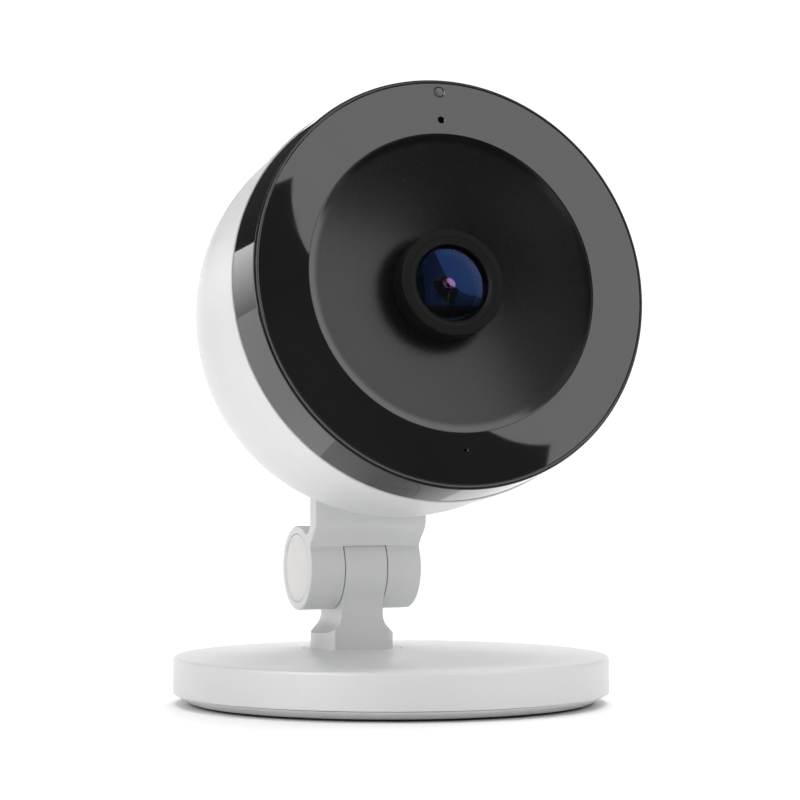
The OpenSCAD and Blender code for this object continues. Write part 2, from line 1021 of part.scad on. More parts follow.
module filter_glass(x) {
    on_head()
        translate([x, 0, filter_mid_z])
            rod(filter_glass_r - filter_glass_sunk, -filter_glass_t / 2, filter_glass_t / 2);
}

module ir_cut_glass() {
    color("#7fa6c9")
        filter_glass(0);
}

module clear_glass() {
    color("#e6eef2")
        filter_glass(-filter_step);
}

module filter_actuator() {
    color("#8a5a2b")
        on_head()
            translate([0, -actuator_down, 0])
                slab(actuator_size[0], actuator_size[1], post_z, actuator_top_z);
}

module image_sensor() {
    color("#30343a")
        on_head() {
            slab(sensor_w, sensor_w, sensor_z[0], sensor_z[1]);
            slab(sensor_cover_w, sensor_cover_w, sensor_z[1], sensor_z[2]);
        }
}

// ---- Boards ----

module sensor_board() {
    color("#1f5a35")
        on_head()
            difference() {
                slab(sensor_board_w, sensor_board_w, sensor_board_z, post_z);
                at_corners(post_place)
                    rod(board_screw_r + seat, sensor_board_z - over, post_z + over);
            }
}

module board_spacers() {
    color("#b89b4f")
        on_head()
            at_corners(post_place)
                ring(board_screw_r + seat, spacer_r, sensor_board_z - spacer_l, sensor_board_z);
}

module main_board() {
    color("#1f5a35")
        on_head()
            difference() {
                rod(main_board_r, main_board_z, main_board_z + main_board_t);
                at_corners(post_place)
                    rod(board_screw_r + seat, main_board_z - over, sensor_board_z);
            }
}

module processor() {
    color("#222222")
        on_head()
            slab(chip_w, chip_w, main_board_z - chip_t, main_board_z);
}

module thermal_pad() {
    color("#9fb7c4")
        on_head()
            slab(chip_w, chip_w, main_board_z - chip_t - thermal_pad_t, main_board_z - chip_t);
}

module heat_spreader() {
    color("#b9bcc0")
        on_head()
            difference() {
                union() {
                    rod(spreader_r, spreader_z, spreader_z + spreader_t);
                    at_corners(post_place)
                        rod(spacer_r, spreader_z, main_board_z);
                }
                at_corners(post_place)
                    rod(board_screw_r + seat, spreader_z - over, main_board_z + over);
                translate([0, inlet_cable_y, 0])
                    slab(inlet_cable_slot[0], inlet_cable_slot[1], spreader_z - over, main_board_z);
            }
}

module board_screws() {
    color("#a8a8a8")
        on_head()
            at_corners(post_place) {
                rod(board_screw_head_r, spreader_z - board_screw_head_t, spreader_z);
                rod(board_screw_r, spreader_z, board_screw_tip_z);
            }
}

module led_board() {
    color("#1f5a35")
        on_head()
            ring(led_board_in_r, band_in_r - seam, led_board_z, led_board_top);
}

module ir_lamps() {
    color("#d9d2b0")
        on_head()
            for (i = [0 : lamp_count - 1])
                rotate([0, 0, i * 360 / lamp_count])
                    translate([lamp_place, 0, 0]) {
                        slab(lamp_w, lamp_w, led_board_top, led_board_top + lamp_t - lamp_dome_t);
                        rod(lamp_dome_r, led_board_top + lamp_t - lamp_dome_t, led_board_top + lamp_t);
                    }
}

module status_led() {
    color("#dff0e0")
        on_head()
            translate([0, status_led_up, 0])
                slab(status_led_size[0], status_led_size[1], led_board_top,
                    led_board_top + status_led_size[2]);
}

// A clear pipe that carries the status lamp's light to the window's face
module status_light() {
    foot_w = 2 * (status_light_r - seam);
    color("#8f9a94")
        on_head() {
            translate([0, status_light_up, 0])
                rod(status_light_r, pipe_foot_z - loose, -pipe_sunk);
            translate([-foot_w / 2, pipe_foot_y, pipe_foot_z - pipe_foot_t])
                cube([foot_w, status_light_up - pipe_foot_y, pipe_foot_t]);
        }
}

module light_sensor() {
    color("#20262b")
        on_head()
            translate([0, light_chip_up, 0])
                slab(light_chip_size[0], light_chip_size[1], led_board_top,
                    led_board_top + light_chip_size[2]);
}

module microphone() {
    color("#c0a050")
        on_head()
            translate([0, -mic_hole_down, led_board_top])
                difference() {
                    slab(mic_size[0], mic_size[1], 0, mic_size[2]);
                    rod(mic_port_r, mic_size[2] - mic_port_d, mic_size[2] + over);
                }
}

// A flexible strip on the inside of the shell's crown
module antenna() {
    color("#c77b30")
        on_head()
            sector(antenna_r[0], antenna_r[1], antenna_z[0], antenna_z[1], antenna_half_angle,
                antenna_direction);
}

module sensor_flex() {
    color("#b5752c")
        on_head()
            translate([0, flex_up, 0])
                slab(flex_size[0], flex_size[1], main_board_z + main_board_t, sensor_board_z);
}

module lamp_cable() {
    color("#2b2b2b")
        on_head()
            translate([lamp_cable_x, 0, 0])
                slab(lamp_cable_size[0], lamp_cable_size[1], main_board_z + main_board_t, led_board_z);
}

module inlet_cable() {
    color("#2b2b2b")
        on_head()
            translate([0, inlet_cable_y, 0])
                slab(inlet_cable_size[0], inlet_cable_size[1], inlet_board_z + inlet_board_t,
                    main_board_z);
}

// ---- Back of the head ----

module inlet_board() {
    color("#1f5a35")
        on_head()
            difference() {
                translate([-inlet_board_w / 2, inlet_board_y[0], inlet_board_z])
                    cube([inlet_board_w, inlet_board_y[1] - inlet_board_y[0], inlet_board_t]);
                for (p = inlet_boss_places)
                    translate([p[0], p[1], 0])
                        rod(inlet_screw_r + seat, inlet_board_z - over, inlet_board_z + 2 * over);
            }
}

module inlet_screws() {
    color("#a8a8a8")
        on_head()
            for (p = inlet_boss_places)
                translate([p[0], p[1], inlet_board_z + inlet_board_t]) {
                    rod(inlet_screw_head_r, 0, inlet_screw_head_t);
                    rod(inlet_screw_r, -inlet_screw_l, 0);
                }
}

// The power inlet: a thin metal sleeve round a tongue with the contacts
module power_inlet() {
    color("#b7bac0")
        on_head()
            translate([0, inlet_y, 0]) {
                difference() {
                    slab(inlet_w, inlet_h, inlet_front_z, inlet_board_z);
                    slab(inlet_w - 2 * inlet_sleeve_t, inlet_h - 2 * inlet_sleeve_t,
                        inlet_front_z - over, inlet_board_z - inlet_sleeve_floor);
                }
                slab(inlet_tongue[0], inlet_tongue[1], inlet_tongue_z, inlet_board_z - bite);
            }
}

module reset_switch() {
    color("#3a3a3a")
        on_head()
            translate([0, button_y, 0]) {
                slab(switch_w, switch_w, inlet_board_z - switch_t, inlet_board_z);
                rod(switch_plunger_r, switch_plunger_z, inlet_board_z - switch_t);
            }
}

module reset_button() {
    color("#e4e4e4")
        on_head()
            translate([0, button_y, 0]) {
                rod(button_r, button_tip_z, button_flange_z[0]);
                rod(button_flange_r, button_flange_z[0], button_flange_z[1]);
                rod(button_stem_r, button_flange_z[1], button_stem_z);
            }
}

rubber_pad();
base_plate();
base_cover();
ballast_plate();
base_screws();
swivel_washer();
stem();
swivel_retainer();
swivel_screw();
hinge_washers();
neck_bracket();
hinge_bolt();
hinge_nut();
left_cap();
right_cap();
neck_screws();
rear_shell();
case_screws();
screw_plugs();
bezel_band();
front_window();
dish();
lens_barrel();
lens_retainer();
front_lens();
rear_lenses();
lens_holder();
filter_carriage();
ir_cut_glass();
clear_glass();
filter_actuator();
image_sensor();
sensor_board();
board_spacers();
main_board();
processor();
thermal_pad();
heat_spreader();
board_screws();
led_board();
ir_lamps();
status_led();
status_light();
light_sensor();
microphone();
antenna();
sensor_flex();
lamp_cable();
inlet_cable();
inlet_board();
inlet_screws();
power_inlet();
reset_switch();
reset_button();
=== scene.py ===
"""Indoor security camera: the visible pieces, their materials, a white floor, soft light and the camera.

Shapes are written in millimetres, in three local frames, and placed in the CAD's frame in metres:
BASE has its origin under the middle of the base, HINGE on the hinge's axis, and HEAD in the middle of the
window's face, with +Z out through the lens and +Y up.
"""

import json
import math

import bmesh
import bpy
from mathutils import Matrix, Vector


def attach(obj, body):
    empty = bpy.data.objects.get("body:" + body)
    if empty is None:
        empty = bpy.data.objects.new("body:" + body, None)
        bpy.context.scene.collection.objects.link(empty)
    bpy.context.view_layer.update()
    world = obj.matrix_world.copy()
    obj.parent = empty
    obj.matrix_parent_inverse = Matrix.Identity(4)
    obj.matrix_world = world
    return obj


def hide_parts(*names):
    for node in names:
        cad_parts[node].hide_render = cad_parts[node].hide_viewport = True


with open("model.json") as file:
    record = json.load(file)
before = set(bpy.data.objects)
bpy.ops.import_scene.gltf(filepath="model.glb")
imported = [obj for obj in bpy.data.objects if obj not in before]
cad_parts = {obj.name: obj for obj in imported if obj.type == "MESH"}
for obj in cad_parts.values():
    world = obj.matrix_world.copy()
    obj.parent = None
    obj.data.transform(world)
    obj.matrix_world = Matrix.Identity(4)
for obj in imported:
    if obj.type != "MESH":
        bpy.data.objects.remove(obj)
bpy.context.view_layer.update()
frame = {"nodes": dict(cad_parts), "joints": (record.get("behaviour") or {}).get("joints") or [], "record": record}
record = frame["record"]

MM = 0.001
ROUND = 192

# ---- Places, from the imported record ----

joints = {joint["name"]: joint for joint in frame["joints"]}
mounts = {mount["name"]: mount for mount in record["mounts"]}

hinge_at = Vector(joints["head_tilt"]["pos_m"])
stem_at = Vector(joints["stand_swivel"]["pos_m"])
forward = -Vector(mounts["power_inlet"]["axis"]).normalized()
right = Vector((1, 0, 0))
upward = forward.cross(right)

AXIS_UP = 40.6 * MM
WINDOW_OUT = 57.3 * MM
face_at = hinge_at + AXIS_UP * upward + WINDOW_OUT * forward


def frame_at(origin, x, y, z):
    """A placing matrix with its columns along x, y and z, that also turns millimetres into metres."""
    turn = Matrix((x, y, z)).transposed().to_4x4()
    return Matrix.Translation(origin) @ turn @ Matrix.Scale(MM, 4)


AXES = (Vector((1, 0, 0)), Vector((0, 1, 0)), Vector((0, 0, 1)))
BASE = frame_at(Vector((0, 0, 0)), *AXES)
STEM = frame_at(Vector((stem_at.x, stem_at.y, 0)), *AXES)
HINGE = frame_at(hinge_at, *AXES)
HEAD = frame_at(face_at, right, upward, forward)

# ---- Sizes in millimetres, as the CAD parts have them ----

BASE_R = 39.0
BASE_H = 8.5
SEAM_H = 1.9
PAD_R = 35.4
PAD_T = 0.8
PLATE_STEP_R = 35.8
PLATE_FOOT_R = 36.2
PLATE_FOOT_Z = 0.45
PLATE_LIP_R = 38.6
PLATE_RIM_Z = 1.86
COVER_WALL = 2.0
COVER_T = 1.8
BASE_SCREW_PLACE = 20.5
SWIVEL_R = 9.1
SWIVEL_RECESS_R = 9.25
SPIGOT_R = 5.0
FOOT_R = 7.65
FOOT_H = 2.9
TONGUE_W = 8.1
TONGUE_D = 11.0
TONGUE_BLEND_R = 6.0
HINGE_R = 7.75
HINGE_H = hinge_at.z / MM
STEM_BORE_R = 2.06
NECK_BORE_R = 2.05
BOLT_POCKET_R = 3.7
NUT_POCKET_R = 4.09
POCKET_X = 6.6
NECK_W = 21.7
EAR_GAP = 0.25
SLOT_W = TONGUE_W + 0.4
PLATE_FRONT = 10.1
PLATE_BACK = 6.9
NAPE_R = 2.0
NECK_TOP = 22.0
CAP_R = 6.25
CAP_DEPTH = 1.5
CAP_RIM_Z = 1.45
CAP_FACE_Z = 1.36
DOME_Z = -26.55
DOME_R = 35.85
TAPER = math.radians(2.7)
SHELL_T = 2.0
BAND_L = 10.2
WINDOW_R = 35.2
WINDOW_T = 1.6
DISH_R = 26.2
DISH_CURVE = 70.0
BARREL_R = 9.35
GLASS_R = 6.75
STATUS_UP = 33.7
STATUS_R = 0.85
SENSOR_UP = 28.7
SENSOR_R = 0.6
MIC_DOWN = 29.15
MIC_R = 0.3
SCREW_PLACE = 28.5
PLUG_R = 2.75
INLET_Y = -14.0
INLET_FRONT_Z = -56.3
INLET_FLOOR_Z = -56.5
INLET_BACK_Z = -49.8
BUTTON_Y = -5.2
BUTTON_R = 2.2


# ---- Camera and light, in metres, degrees and watts ----

CAMERA_AT = Vector((-0.19892, -0.50009, 0.04934))
CAMERA_HEADING = 21.86
CAMERA_PITCH = 0.516
PANEL_LIGHT = 2.3
SKY_LIGHT = 0.53
ROOM_LIGHT = 0.04
BACKDROP_LIGHT = 1.1


# ---- Mesh tools ----


def rounded(corners, steps=6):
    """An outline whose corners (x, y, radius) are rounded; a corner without a radius stays sharp."""
    points = []
    count = len(corners)
    for i, corner in enumerate(corners):
        here = Vector(corner[:2])
        radius = corner[2] if len(corner) > 2 else 0.0
        if radius <= 0:
            points.append(here)
            continue
        before = (Vector(corners[i - 1][:2]) - here).normalized()
        after = (Vector(corners[(i + 1) % count][:2]) - here).normalized()
        half = math.acos(max(-1.0, min(1.0, before.dot(after)))) / 2
        centre = here + (before + after).normalized() * radius / math.sin(half)
        start = here + before * radius / math.tan(half) - centre
        end = here + after * radius / math.tan(half) - centre
        sweep = start.angle_signed(end)
        for step in range(steps + 1):
            points.append(centre + Matrix.Rotation(-sweep * step / steps, 2) @ start)
    return points


def arc(centre, radius, start, end, steps):
    """Points on a circle, from one angle to another, in degrees."""
    angles = [math.radians(start + (end - start) * i / steps) for i in range(steps + 1)]
    return [(centre[0] + radius * math.cos(a), centre[1] + radius * math.sin(a)) for a in angles]


def circle(radius, steps, centre=(0, 0)):
    return arc(centre, radius, 0, 360, steps)[:-1]


def new_object(name, bm):
    bmesh.ops.recalc_face_normals(bm, faces=bm.faces)
    mesh = bpy.data.meshes.new(name)
    bm.to_mesh(mesh)
    bm.free()
    obj = bpy.data.objects.new(name, mesh)
    bpy.context.scene.collection.objects.link(obj)
    return obj


def lathe(name, outline, segments=ROUND):
    """Turns a closed outline in (radius, height) round the local Z axis."""
    bm = bmesh.new()
    rings = []
    for r, z in outline:
        if r < 1e-6:
            rings.append([bm.verts.new((0, 0, z))])
            continue
        turns = [2 * math.pi * i / segments for i in range(segments)]
        rings.append([bm.verts.new((r * math.cos(a), r * math.sin(a), z)) for a in turns])
    for low, high in zip(rings, rings[1:] + rings[:1]):
        if len(low) == 1 and len(high) == 1:
            continue
        for i in range(segments):
            j = (i + 1) % segments
            corners = [low[i % len(low)], low[j % len(low)], high[j % len(high)], high[i % len(high)]]
            bm.faces.new(list(dict.fromkeys(corners)))
    return new_object(name, bm)


def prism(name, outline, low, high):
    """Extrudes a closed outline in (x, y) between two heights."""
    bm = bmesh.new()
    bottom = [bm.verts.new((x, y, low)) for x, y in outline]
    top = [bm.verts.new((x, y, high)) for x, y in outline]
    bm.faces.new(bottom)
    bm.faces.new(top)
    for i in range(len(outline)):
        j = (i + 1) % len(outline)
        bm.faces.new((bottom[i], bottom[j], top[j], top[i]))
    return new_object(name, bm)


def moved(obj, matrix):
    obj.data.transform(matrix)
    return obj


def along_x(obj):
    """Turns a piece made along Z, with its outline in (y, z), so that it lies along X."""
    return moved(obj, Matrix(((0, 0, 1, 0), (1, 0, 0, 0), (0, 1, 0, 0), (0, 0, 0, 1))))


def combine(obj, operation, others):
    """Applies one exact boolean for each other object, and removes that object."""
    for other in others:
        modifier = obj.modifiers.new("boolean", "BOOLEAN")
        modifier.operation = operation
        modifier.solver = "EXACT"
        modifier.object = other
        bpy.context.view_layer.update()
        evaluated = obj.evaluated_get(bpy.context.evaluated_depsgraph_get())
        mesh = bpy.data.meshes.new_from_object(evaluated)
        obj.modifiers.clear()
        old = obj.data
        obj.data = mesh
        bpy.data.meshes.remove(old)
        bpy.data.objects.remove(other)
    return obj


def cut(obj, *others):
    return combine(obj, "DIFFERENCE", others)


def join(obj, *others):
    return combine(obj, "UNION", others)


def keep(obj, *others):
    return combine(obj, "INTERSECT", others)


def soften(obj, width, least_angle=28, segments=3, chosen=None):
    """Rounds the convex edges that are sharper than an angle."""
    bm = bmesh.new()
    bm.from_mesh(obj.data)
    bmesh.ops.remove_doubles(bm, verts=bm.verts, dist=1e-4)
    bmesh.ops.dissolve_limit(bm, angle_limit=math.radians(0.3), verts=bm.verts, edges=bm.edges)
    sharp = [
        e
        for e in bm.edges
        if len(e.link_faces) == 2
        and e.calc_face_angle_signed(0) > math.radians(least_angle)
        and (chosen is None or chosen(e))
    ]
    bmesh.ops.bevel(
        bm,
        geom=sharp,
        offset=width,
        offset_type="OFFSET",
        segments=segments,
        profile=0.5,
        affect="EDGES",
        clamp_overlap=True,
    )
    bm.to_mesh(obj.data)
    bm.free()
    return obj


def place(obj, matrix, body, node, material, smooth=32):
    """Puts a piece made in millimetres in its place, smooths it, gives it its material, hangs it on its body and
    hides the CAD node that it stands for.
    """
    moved(obj, matrix)
    mesh = obj.data
    mesh.shade_smooth()
    mesh.set_sharp_from_angle(angle=math.radians(smooth))
    mesh.materials.clear()
    mesh.materials.append(material)
    weighted = obj.modifiers.new("flat_faces_first", "WEIGHTED_NORMAL")
    weighted.keep_sharp = True
    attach(obj, body)
    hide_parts(node)
    return obj


# ---- Materials ----


class Nodes:
    """A new material with a Principled shader, and short ways to add to it."""

    def __init__(self, name):
        self.material = bpy.data.materials.new(name)
        self.material.use_nodes = True
        self.tree = self.material.node_tree
        self.shader = self.tree.nodes["Principled BSDF"]
        self.coordinates = self.tree.nodes.new("ShaderNodeTexCoord")

    def noise(self, scale, detail=3, roughness=0.5, stretch=None):
        node = self.tree.nodes.new("ShaderNodeTexNoise")
        node.inputs["Scale"].default_value = scale
        node.inputs["Detail"].default_value = detail
        node.inputs["Roughness"].default_value = roughness
        source = self.coordinates.outputs["Object"]
        if stretch:
            mapping = self.tree.nodes.new("ShaderNodeMapping")
            mapping.inputs["Scale"].default_value = stretch
            self.tree.links.new(source, mapping.inputs["Vector"])
            source = mapping.outputs["Vector"]
        self.tree.links.new(source, node.inputs["Vector"])
        return node.outputs["Fac"]

    def ramp(self, source, stops):
        """Maps a 0 to 1 value through stops of (position, colour)."""
        node = self.tree.nodes.new("ShaderNodeValToRGB")
        elements = node.color_ramp.elements
        for element, (position, colour) in zip(elements, (stops[0], stops[-1])):
            element.position = position
            element.color = (*colour, 1)
        for position, colour in stops[1:-1]:
            elements.new(position).color = (*colour, 1)
        self.tree.links.new(source, node.inputs["Fac"])
        return node.outputs["Color"]

    def span(self, source, low, high, start=0.3, end=0.7):
        """Maps a noise value onto the range from low to high."""
        node = self.tree.nodes.new("ShaderNodeMapRange")
        node.inputs["From Min"].default_value = start
        node.inputs["From Max"].default_value = end
        node.inputs["To Min"].default_value = low
        node.inputs["To Max"].default_value = high
        self.tree.links.new(source, node.inputs["Value"])
        return node.outputs["Result"]

    def bump(self, height, distance, strength=1.0, under=None):
        node = self.tree.nodes.new("ShaderNodeBump")
        node.inputs["Strength"].default_value = strength
        node.inputs["Distance"].default_value = distance
        self.tree.links.new(height, node.inputs["Height"])
        if under:
            self.tree.links.new(under, node.inputs["Normal"])
        return node.outputs["Normal"]

    def put(self, **inputs):
        """Sets shader inputs by name, to a plain value or to another node's output."""
        for key, value in inputs.items():
            socket = self.shader.inputs[key.replace("_", " ")]
            if isinstance(value, bpy.types.NodeSocket):
                self.tree.links.new(value, socket)
            else:
                socket.default_value = value
        return self


def grey(value):
    return (value, value, value)


def moulded(name, dark, light, rough, grain=4200, grain_depth=1.2e-5, ior=1.5, level=0.5):
    """Moulded plastic: a fine grain, slow tone changes from the tool's flow, and uneven gloss."""
    n = Nodes(name)
    flow = n.noise(38, detail=4)
    tint = n.ramp(flow, [(0.35, dark), (0.65, light)])
    gloss = n.span(n.noise(900, detail=5), rough[0], rough[1])
    coarse = n.bump(n.noise(grain / 5, detail=2), grain_depth * 0.7)
    fine = n.bump(n.noise(grain, detail=4, roughness=0.6), grain_depth, under=coarse)
    n.put(Base_Color=tint, Roughness=gloss, Normal=fine, IOR=ior, Specular_IOR_Level=level)
    return n.material


def satin_dish(name, dark, light, rough, grain, grain_depth):
    """Satin black plastic, polished towards the dish's edge, where the mesh's edge_polish rises to 1."""
    n = Nodes(name)
    edge = n.tree.nodes.new("ShaderNodeAttribute")
    edge.attribute_name = "edge_polish"
    gloss = n.tree.nodes.new("ShaderNodeMix")
    n.tree.links.new(edge.outputs["Fac"], gloss.inputs[0])
    n.tree.links.new(n.span(n.noise(900, detail=5), rough[0], rough[1]), gloss.inputs[2])
    n.tree.links.new(n.span(n.noise(140, detail=6), 0.06, 0.1), gloss.inputs[3])
    n.put(
        Base_Color=n.ramp(n.noise(38, detail=4), [(0.35, dark), (0.65, light)]),
        Roughness=gloss.outputs[0],
        Normal=n.bump(n.noise(grain, detail=4, roughness=0.6), grain_depth),
        Specular_IOR_Level=n.span(edge.outputs["Fac"], 0.33, 0.64, 0, 1),
    )
    return n.material


def polished(name, dark, light, rough, ripple=1.0e-6, ior=1.5, tint=(1, 1, 1)):
    """Polished plastic: a slight ripple in the surface, and faint wiping marks in the gloss."""
    n = Nodes(name)
    colour = n.ramp(n.noise(60, detail=3), [(0.35, dark), (0.65, light)])
    wipes = n.noise(140, detail=6, roughness=0.65, stretch=(1, 0.25, 1.4))
    n.put(
        Base_Color=colour,
        Roughness=n.span(wipes, rough[0], rough[1]),
        Normal=n.bump(n.noise(260, detail=1), ripple),
        IOR=ior,
        Specular_Tint=(*tint, 1),
    )
    return n.material


def rubber(name):
    n = Nodes(name)
    tint = n.ramp(n.noise(70, detail=5), [(0.3, grey(0.012)), (0.7, grey(0.024))])
    n.put(
        Base_Color=tint,
        Roughness=n.span(n.noise(600), 0.7, 0.9),
        Normal=n.bump(n.noise(3200, detail=4), 3.0e-5),
    )
    return n.material


def metal(name, dark, light, rough, stretch):
    """Drawn or turned metal: fine lines along one direction, and slightly uneven colour."""
    n = Nodes(name)
    lines = n.noise(2600, detail=3, stretch=stretch)
    n.put(
        Base_Color=n.ramp(n.noise(120, detail=4), [(0.3, dark), (0.7, light)]),
        Metallic=1.0,
        Roughness=n.span(lines, rough[0], rough[1]),
        Normal=n.bump(lines, 4.0e-6),
    )
    return n.material


def coated_glass(name, tint, level, colour=(1, 1, 1), ior=1.6):
    """Lens glass whose coating tints what it reflects, with faint cleaning marks in its polish."""
    n = Nodes(name)
    n.put(
        Base_Color=n.ramp(n.noise(90), [(0.3, colour), (0.7, tuple(c * 0.97 for c in colour))]),
        Transmission_Weight=1.0,
        Roughness=n.span(n.noise(400, detail=5), 0.0, 0.02),
        IOR=ior,
        Specular_IOR_Level=level,
        Specular_Tint=(*tint, 1),
    )
    return n.material


def board_material(name):
    """A circuit board: solder mask with copper runs that show through it as lighter lines."""
    n = Nodes(name)
    runs = n.noise(420, detail=0, stretch=(1, 4, 1))
    n.put(
        Base_Color=n.ramp(runs, [(0.47, (0.012, 0.07, 0.035)), (0.5, (0.03, 0.16, 0.08)),
                                 (0.53, (0.012, 0.07, 0.035))]),
        Roughness=n.span(n.noise(800), 0.28, 0.4),
        Normal=n.bump(runs, 1.5e-5),
    )
    return n.material


WHITE = moulded("white_plastic", (0.645, 0.652, 0.648), (0.675, 0.682, 0.678), (0.36, 0.46))
CAP_WHITE = moulded("cap_plastic", (0.665, 0.655, 0.645), (0.70, 0.69, 0.68), (0.3, 0.4))
BAND_BLACK = polished("band_black", grey(0.008), grey(0.011), (0.03, 0.05))
WINDOW_BLACK = polished("window_black", grey(0.0105), grey(0.0125), (0.015, 0.03), ior=1.585)
DISH_BLACK = satin_dish("dish_black", grey(0.005), grey(0.007), (0.24, 0.28), 5200, 0.8e-5)
BARREL_BLACK = moulded("barrel_black", grey(0.006), grey(0.008), (0.52, 0.62), grain_depth=0.6e-5, level=0.08)
RETAINER_BLACK = moulded(
    "retainer_black", grey(0.004), grey(0.006), (0.42, 0.5), grain_depth=0.6e-5, level=0.11
)
LENS_GLASS = coated_glass("lens_glass", (0.03, 0.16, 0.68), 0.5)
CEMENTED_GLASS = coated_glass("cemented_glass", (0.2, 0.2, 0.3), 0.5, ior=1.0)
INNER_GLASS = polished(
    "inner_glass", (0.002, 0.002, 0.003), (0.003, 0.003, 0.005), (0.03, 0.06), ior=2.2, tint=(0.8, 0.42, 1.0)
)
REAR_GLASS = coated_glass("filter_glass", (0.85, 0.25, 1.0), 0.9, (0.9, 0.93, 1.0))
RUBBER = rubber("rubber_black")
STEEL = metal("screw_steel", grey(0.42), grey(0.55), (0.22, 0.36), (1, 1, 6))
IRON = metal("ballast_iron", grey(0.18), grey(0.26), (0.45, 0.6), (2, 1, 1))
ALUMINIUM = metal("spreader_aluminium", (0.6, 0.61, 0.63), (0.7, 0.71, 0.73), (0.25, 0.4), (1, 8, 1))
BRASS = metal("spacer_brass", (0.5, 0.36, 0.13), (0.62, 0.47, 0.2), (0.2, 0.32), (1, 1, 6))
COPPER = metal("copper", (0.5, 0.22, 0.1), (0.62, 0.3, 0.16), (0.3, 0.42), (1, 1, 14))
SLIP = moulded("slip_plastic", (0.6, 0.57, 0.5), (0.66, 0.63, 0.56), (0.3, 0.4))
BOARD = board_material("board_green")
CHIP = moulded("chip_black", grey(0.014), grey(0.022), (0.5, 0.62))
SENSOR = polished("sensor_dark", (0.02, 0.024, 0.05), (0.03, 0.035, 0.07), (0.05, 0.1), ior=1.6)
LAMP = polished("lamp_clear", (0.5, 0.48, 0.38), (0.6, 0.58, 0.46), (0.06, 0.12))
LIGHT_PIPE = moulded("light_clear", (0.055, 0.06, 0.058), (0.07, 0.075, 0.072), (0.16, 0.24))
PAD_BLUE = rubber("pad_blue")
FLEX = moulded("flex_amber", (0.24, 0.1, 0.02), (0.32, 0.15, 0.03), (0.25, 0.35))
CABLE = rubber("cable_black")

CARRIED = {
    "screw_steel": STEEL,
    "ballast_iron": IRON,
    "spreader_aluminium": ALUMINIUM,
    "spacer_brass": BRASS,
    "copper": COPPER,
    "slip_plastic": SLIP,
    "board_green": BOARD,
    "chip_black": CHIP,
    "sensor_dark": SENSOR,
    "lamp_clear": LAMP,
    "light_clear": LIGHT_PIPE,
    "pad_blue": PAD_BLUE,
    "flex_amber": FLEX,
    "cable_black": CABLE,
    "white_plastic": WHITE,
    "cap_plastic": CAP_WHITE,
    "band_black": BAND_BLACK,
    "window_black": WINDOW_BLACK,
    "dish_black": DISH_BLACK,
    "barrel_black": BARREL_BLACK,
    "lens_glass": LENS_GLASS,
    "filter_glass": REAR_GLASS,
    "rubber_black": RUBBER,
}


def dress_carried_nodes():
    """Every CAD node takes the procedural material of its slot; the replaced ones aren't shown."""
    slots = {part["node"]: part["material_slot"] for part in record["subparts"]}
    for node, obj in frame["nodes"].items():
        for material_slot in obj.material_slots:
            material_slot.material = CARRIED[slots[node]]


# ---- Base ----


def four_corners(make):
    """A copy of one piece for each of the base's screws."""
    sides = (-BASE_SCREW_PLACE, BASE_SCREW_PLACE)
    return [moved(make(), Matrix.Translation((x, y, 0))) for x in sides for y in sides]


def make_rubber_pad():
    """The pad under the base, with shallow grip rings in its underside."""
    groove = 0.2
    outline = [(0, groove), (8, groove), (8, 0)]
    for ring in (14, 20, 26):
        outline += [(ring, 0), (ring, groove), (ring + 1.2, groove), (ring + 1.2, 0)]
    outline += [(PAD_R, 0, 0.2), (PAD_R, PAD_T, 0.15), (0, PAD_T)]
    pad = lathe("rubber_pad_piece", rounded(outline, 3))
    place(pad, BASE, "base", "rubber_pad", RUBBER)


def make_base_plate():
    """The white bottom plate: its slanted lip shows under the cover."""
    ring_r = BASE_R - COVER_WALL - 0.2
    outline = [(0, PAD_T), (PLATE_STEP_R, PAD_T), (PLATE_STEP_R, PLATE_FOOT_Z),
               (PLATE_FOOT_R, PLATE_FOOT_Z, 0.1), (PLATE_LIP_R, PLATE_RIM_Z, 0.12),
               (ring_r, PLATE_RIM_Z), (ring_r, 3.4, 0.15),
               (ring_r - 1.6, 3.4, 0.15), (ring_r - 1.6, 2.4), (0, 2.4)]
    plate = lathe("base_plate_piece", rounded(outline, 4))
    screw_hole = [(0, 0), (2.25, 0), (2.25, 1.75), (1.15, 1.75), (1.15, 3), (0, 3)]
    cut(plate, *four_corners(lambda: lathe("hole", screw_hole, 48)))
    place(plate, BASE, "base", "base_plate", WHITE)


def make_base_cover():
    """The round white cover, with the recess that the stem's flush disc turns in."""
    under = BASE_H - COVER_T
    inner = BASE_R - COVER_WALL
    cover = lathe(
        "base_cover_piece",
        rounded(
            [(inner, SEAM_H + 0.06, 0.1), (BASE_R, SEAM_H + 0.06, 0.14), (BASE_R, BASE_H, 0.6), (0, BASE_H),
             (0, under), (inner, under, 0.4)], 8),
        256,
    )
    boss_top = under + 0.5
    screw_boss = [(0, 2.4), (2.6, 2.4), (2.6, boss_top), (0, boss_top)]
    join(cover, *four_corners(lambda: lathe("boss", screw_boss, 64)))
    stem = Matrix.Translation((0, stem_at.y / MM, 0))
    stem_boss = [(0, 4.6), (11.2, 4.6), (11.2, boss_top), (0, boss_top)]
    join(cover, moved(lathe("boss", stem_boss, 96), stem))
    recess = [(0, 0), (SPIGOT_R + 0.06, 0), (SPIGOT_R + 0.06, 7.2), (SWIVEL_RECESS_R, 7.2)]
    recess += [(SWIVEL_RECESS_R, BASE_H - 0.15), (SWIVEL_RECESS_R + 0.05, BASE_H - 0.05)]
    recess += [(SWIVEL_RECESS_R + 0.15, BASE_H), (SWIVEL_RECESS_R + 0.15, BASE_H + 1), (0, BASE_H + 1)]
    cut(cover, moved(lathe("recess", recess, 128), stem))
    place(cover, BASE, "base", "base_cover", WHITE)


# ---- Stem and neck ----


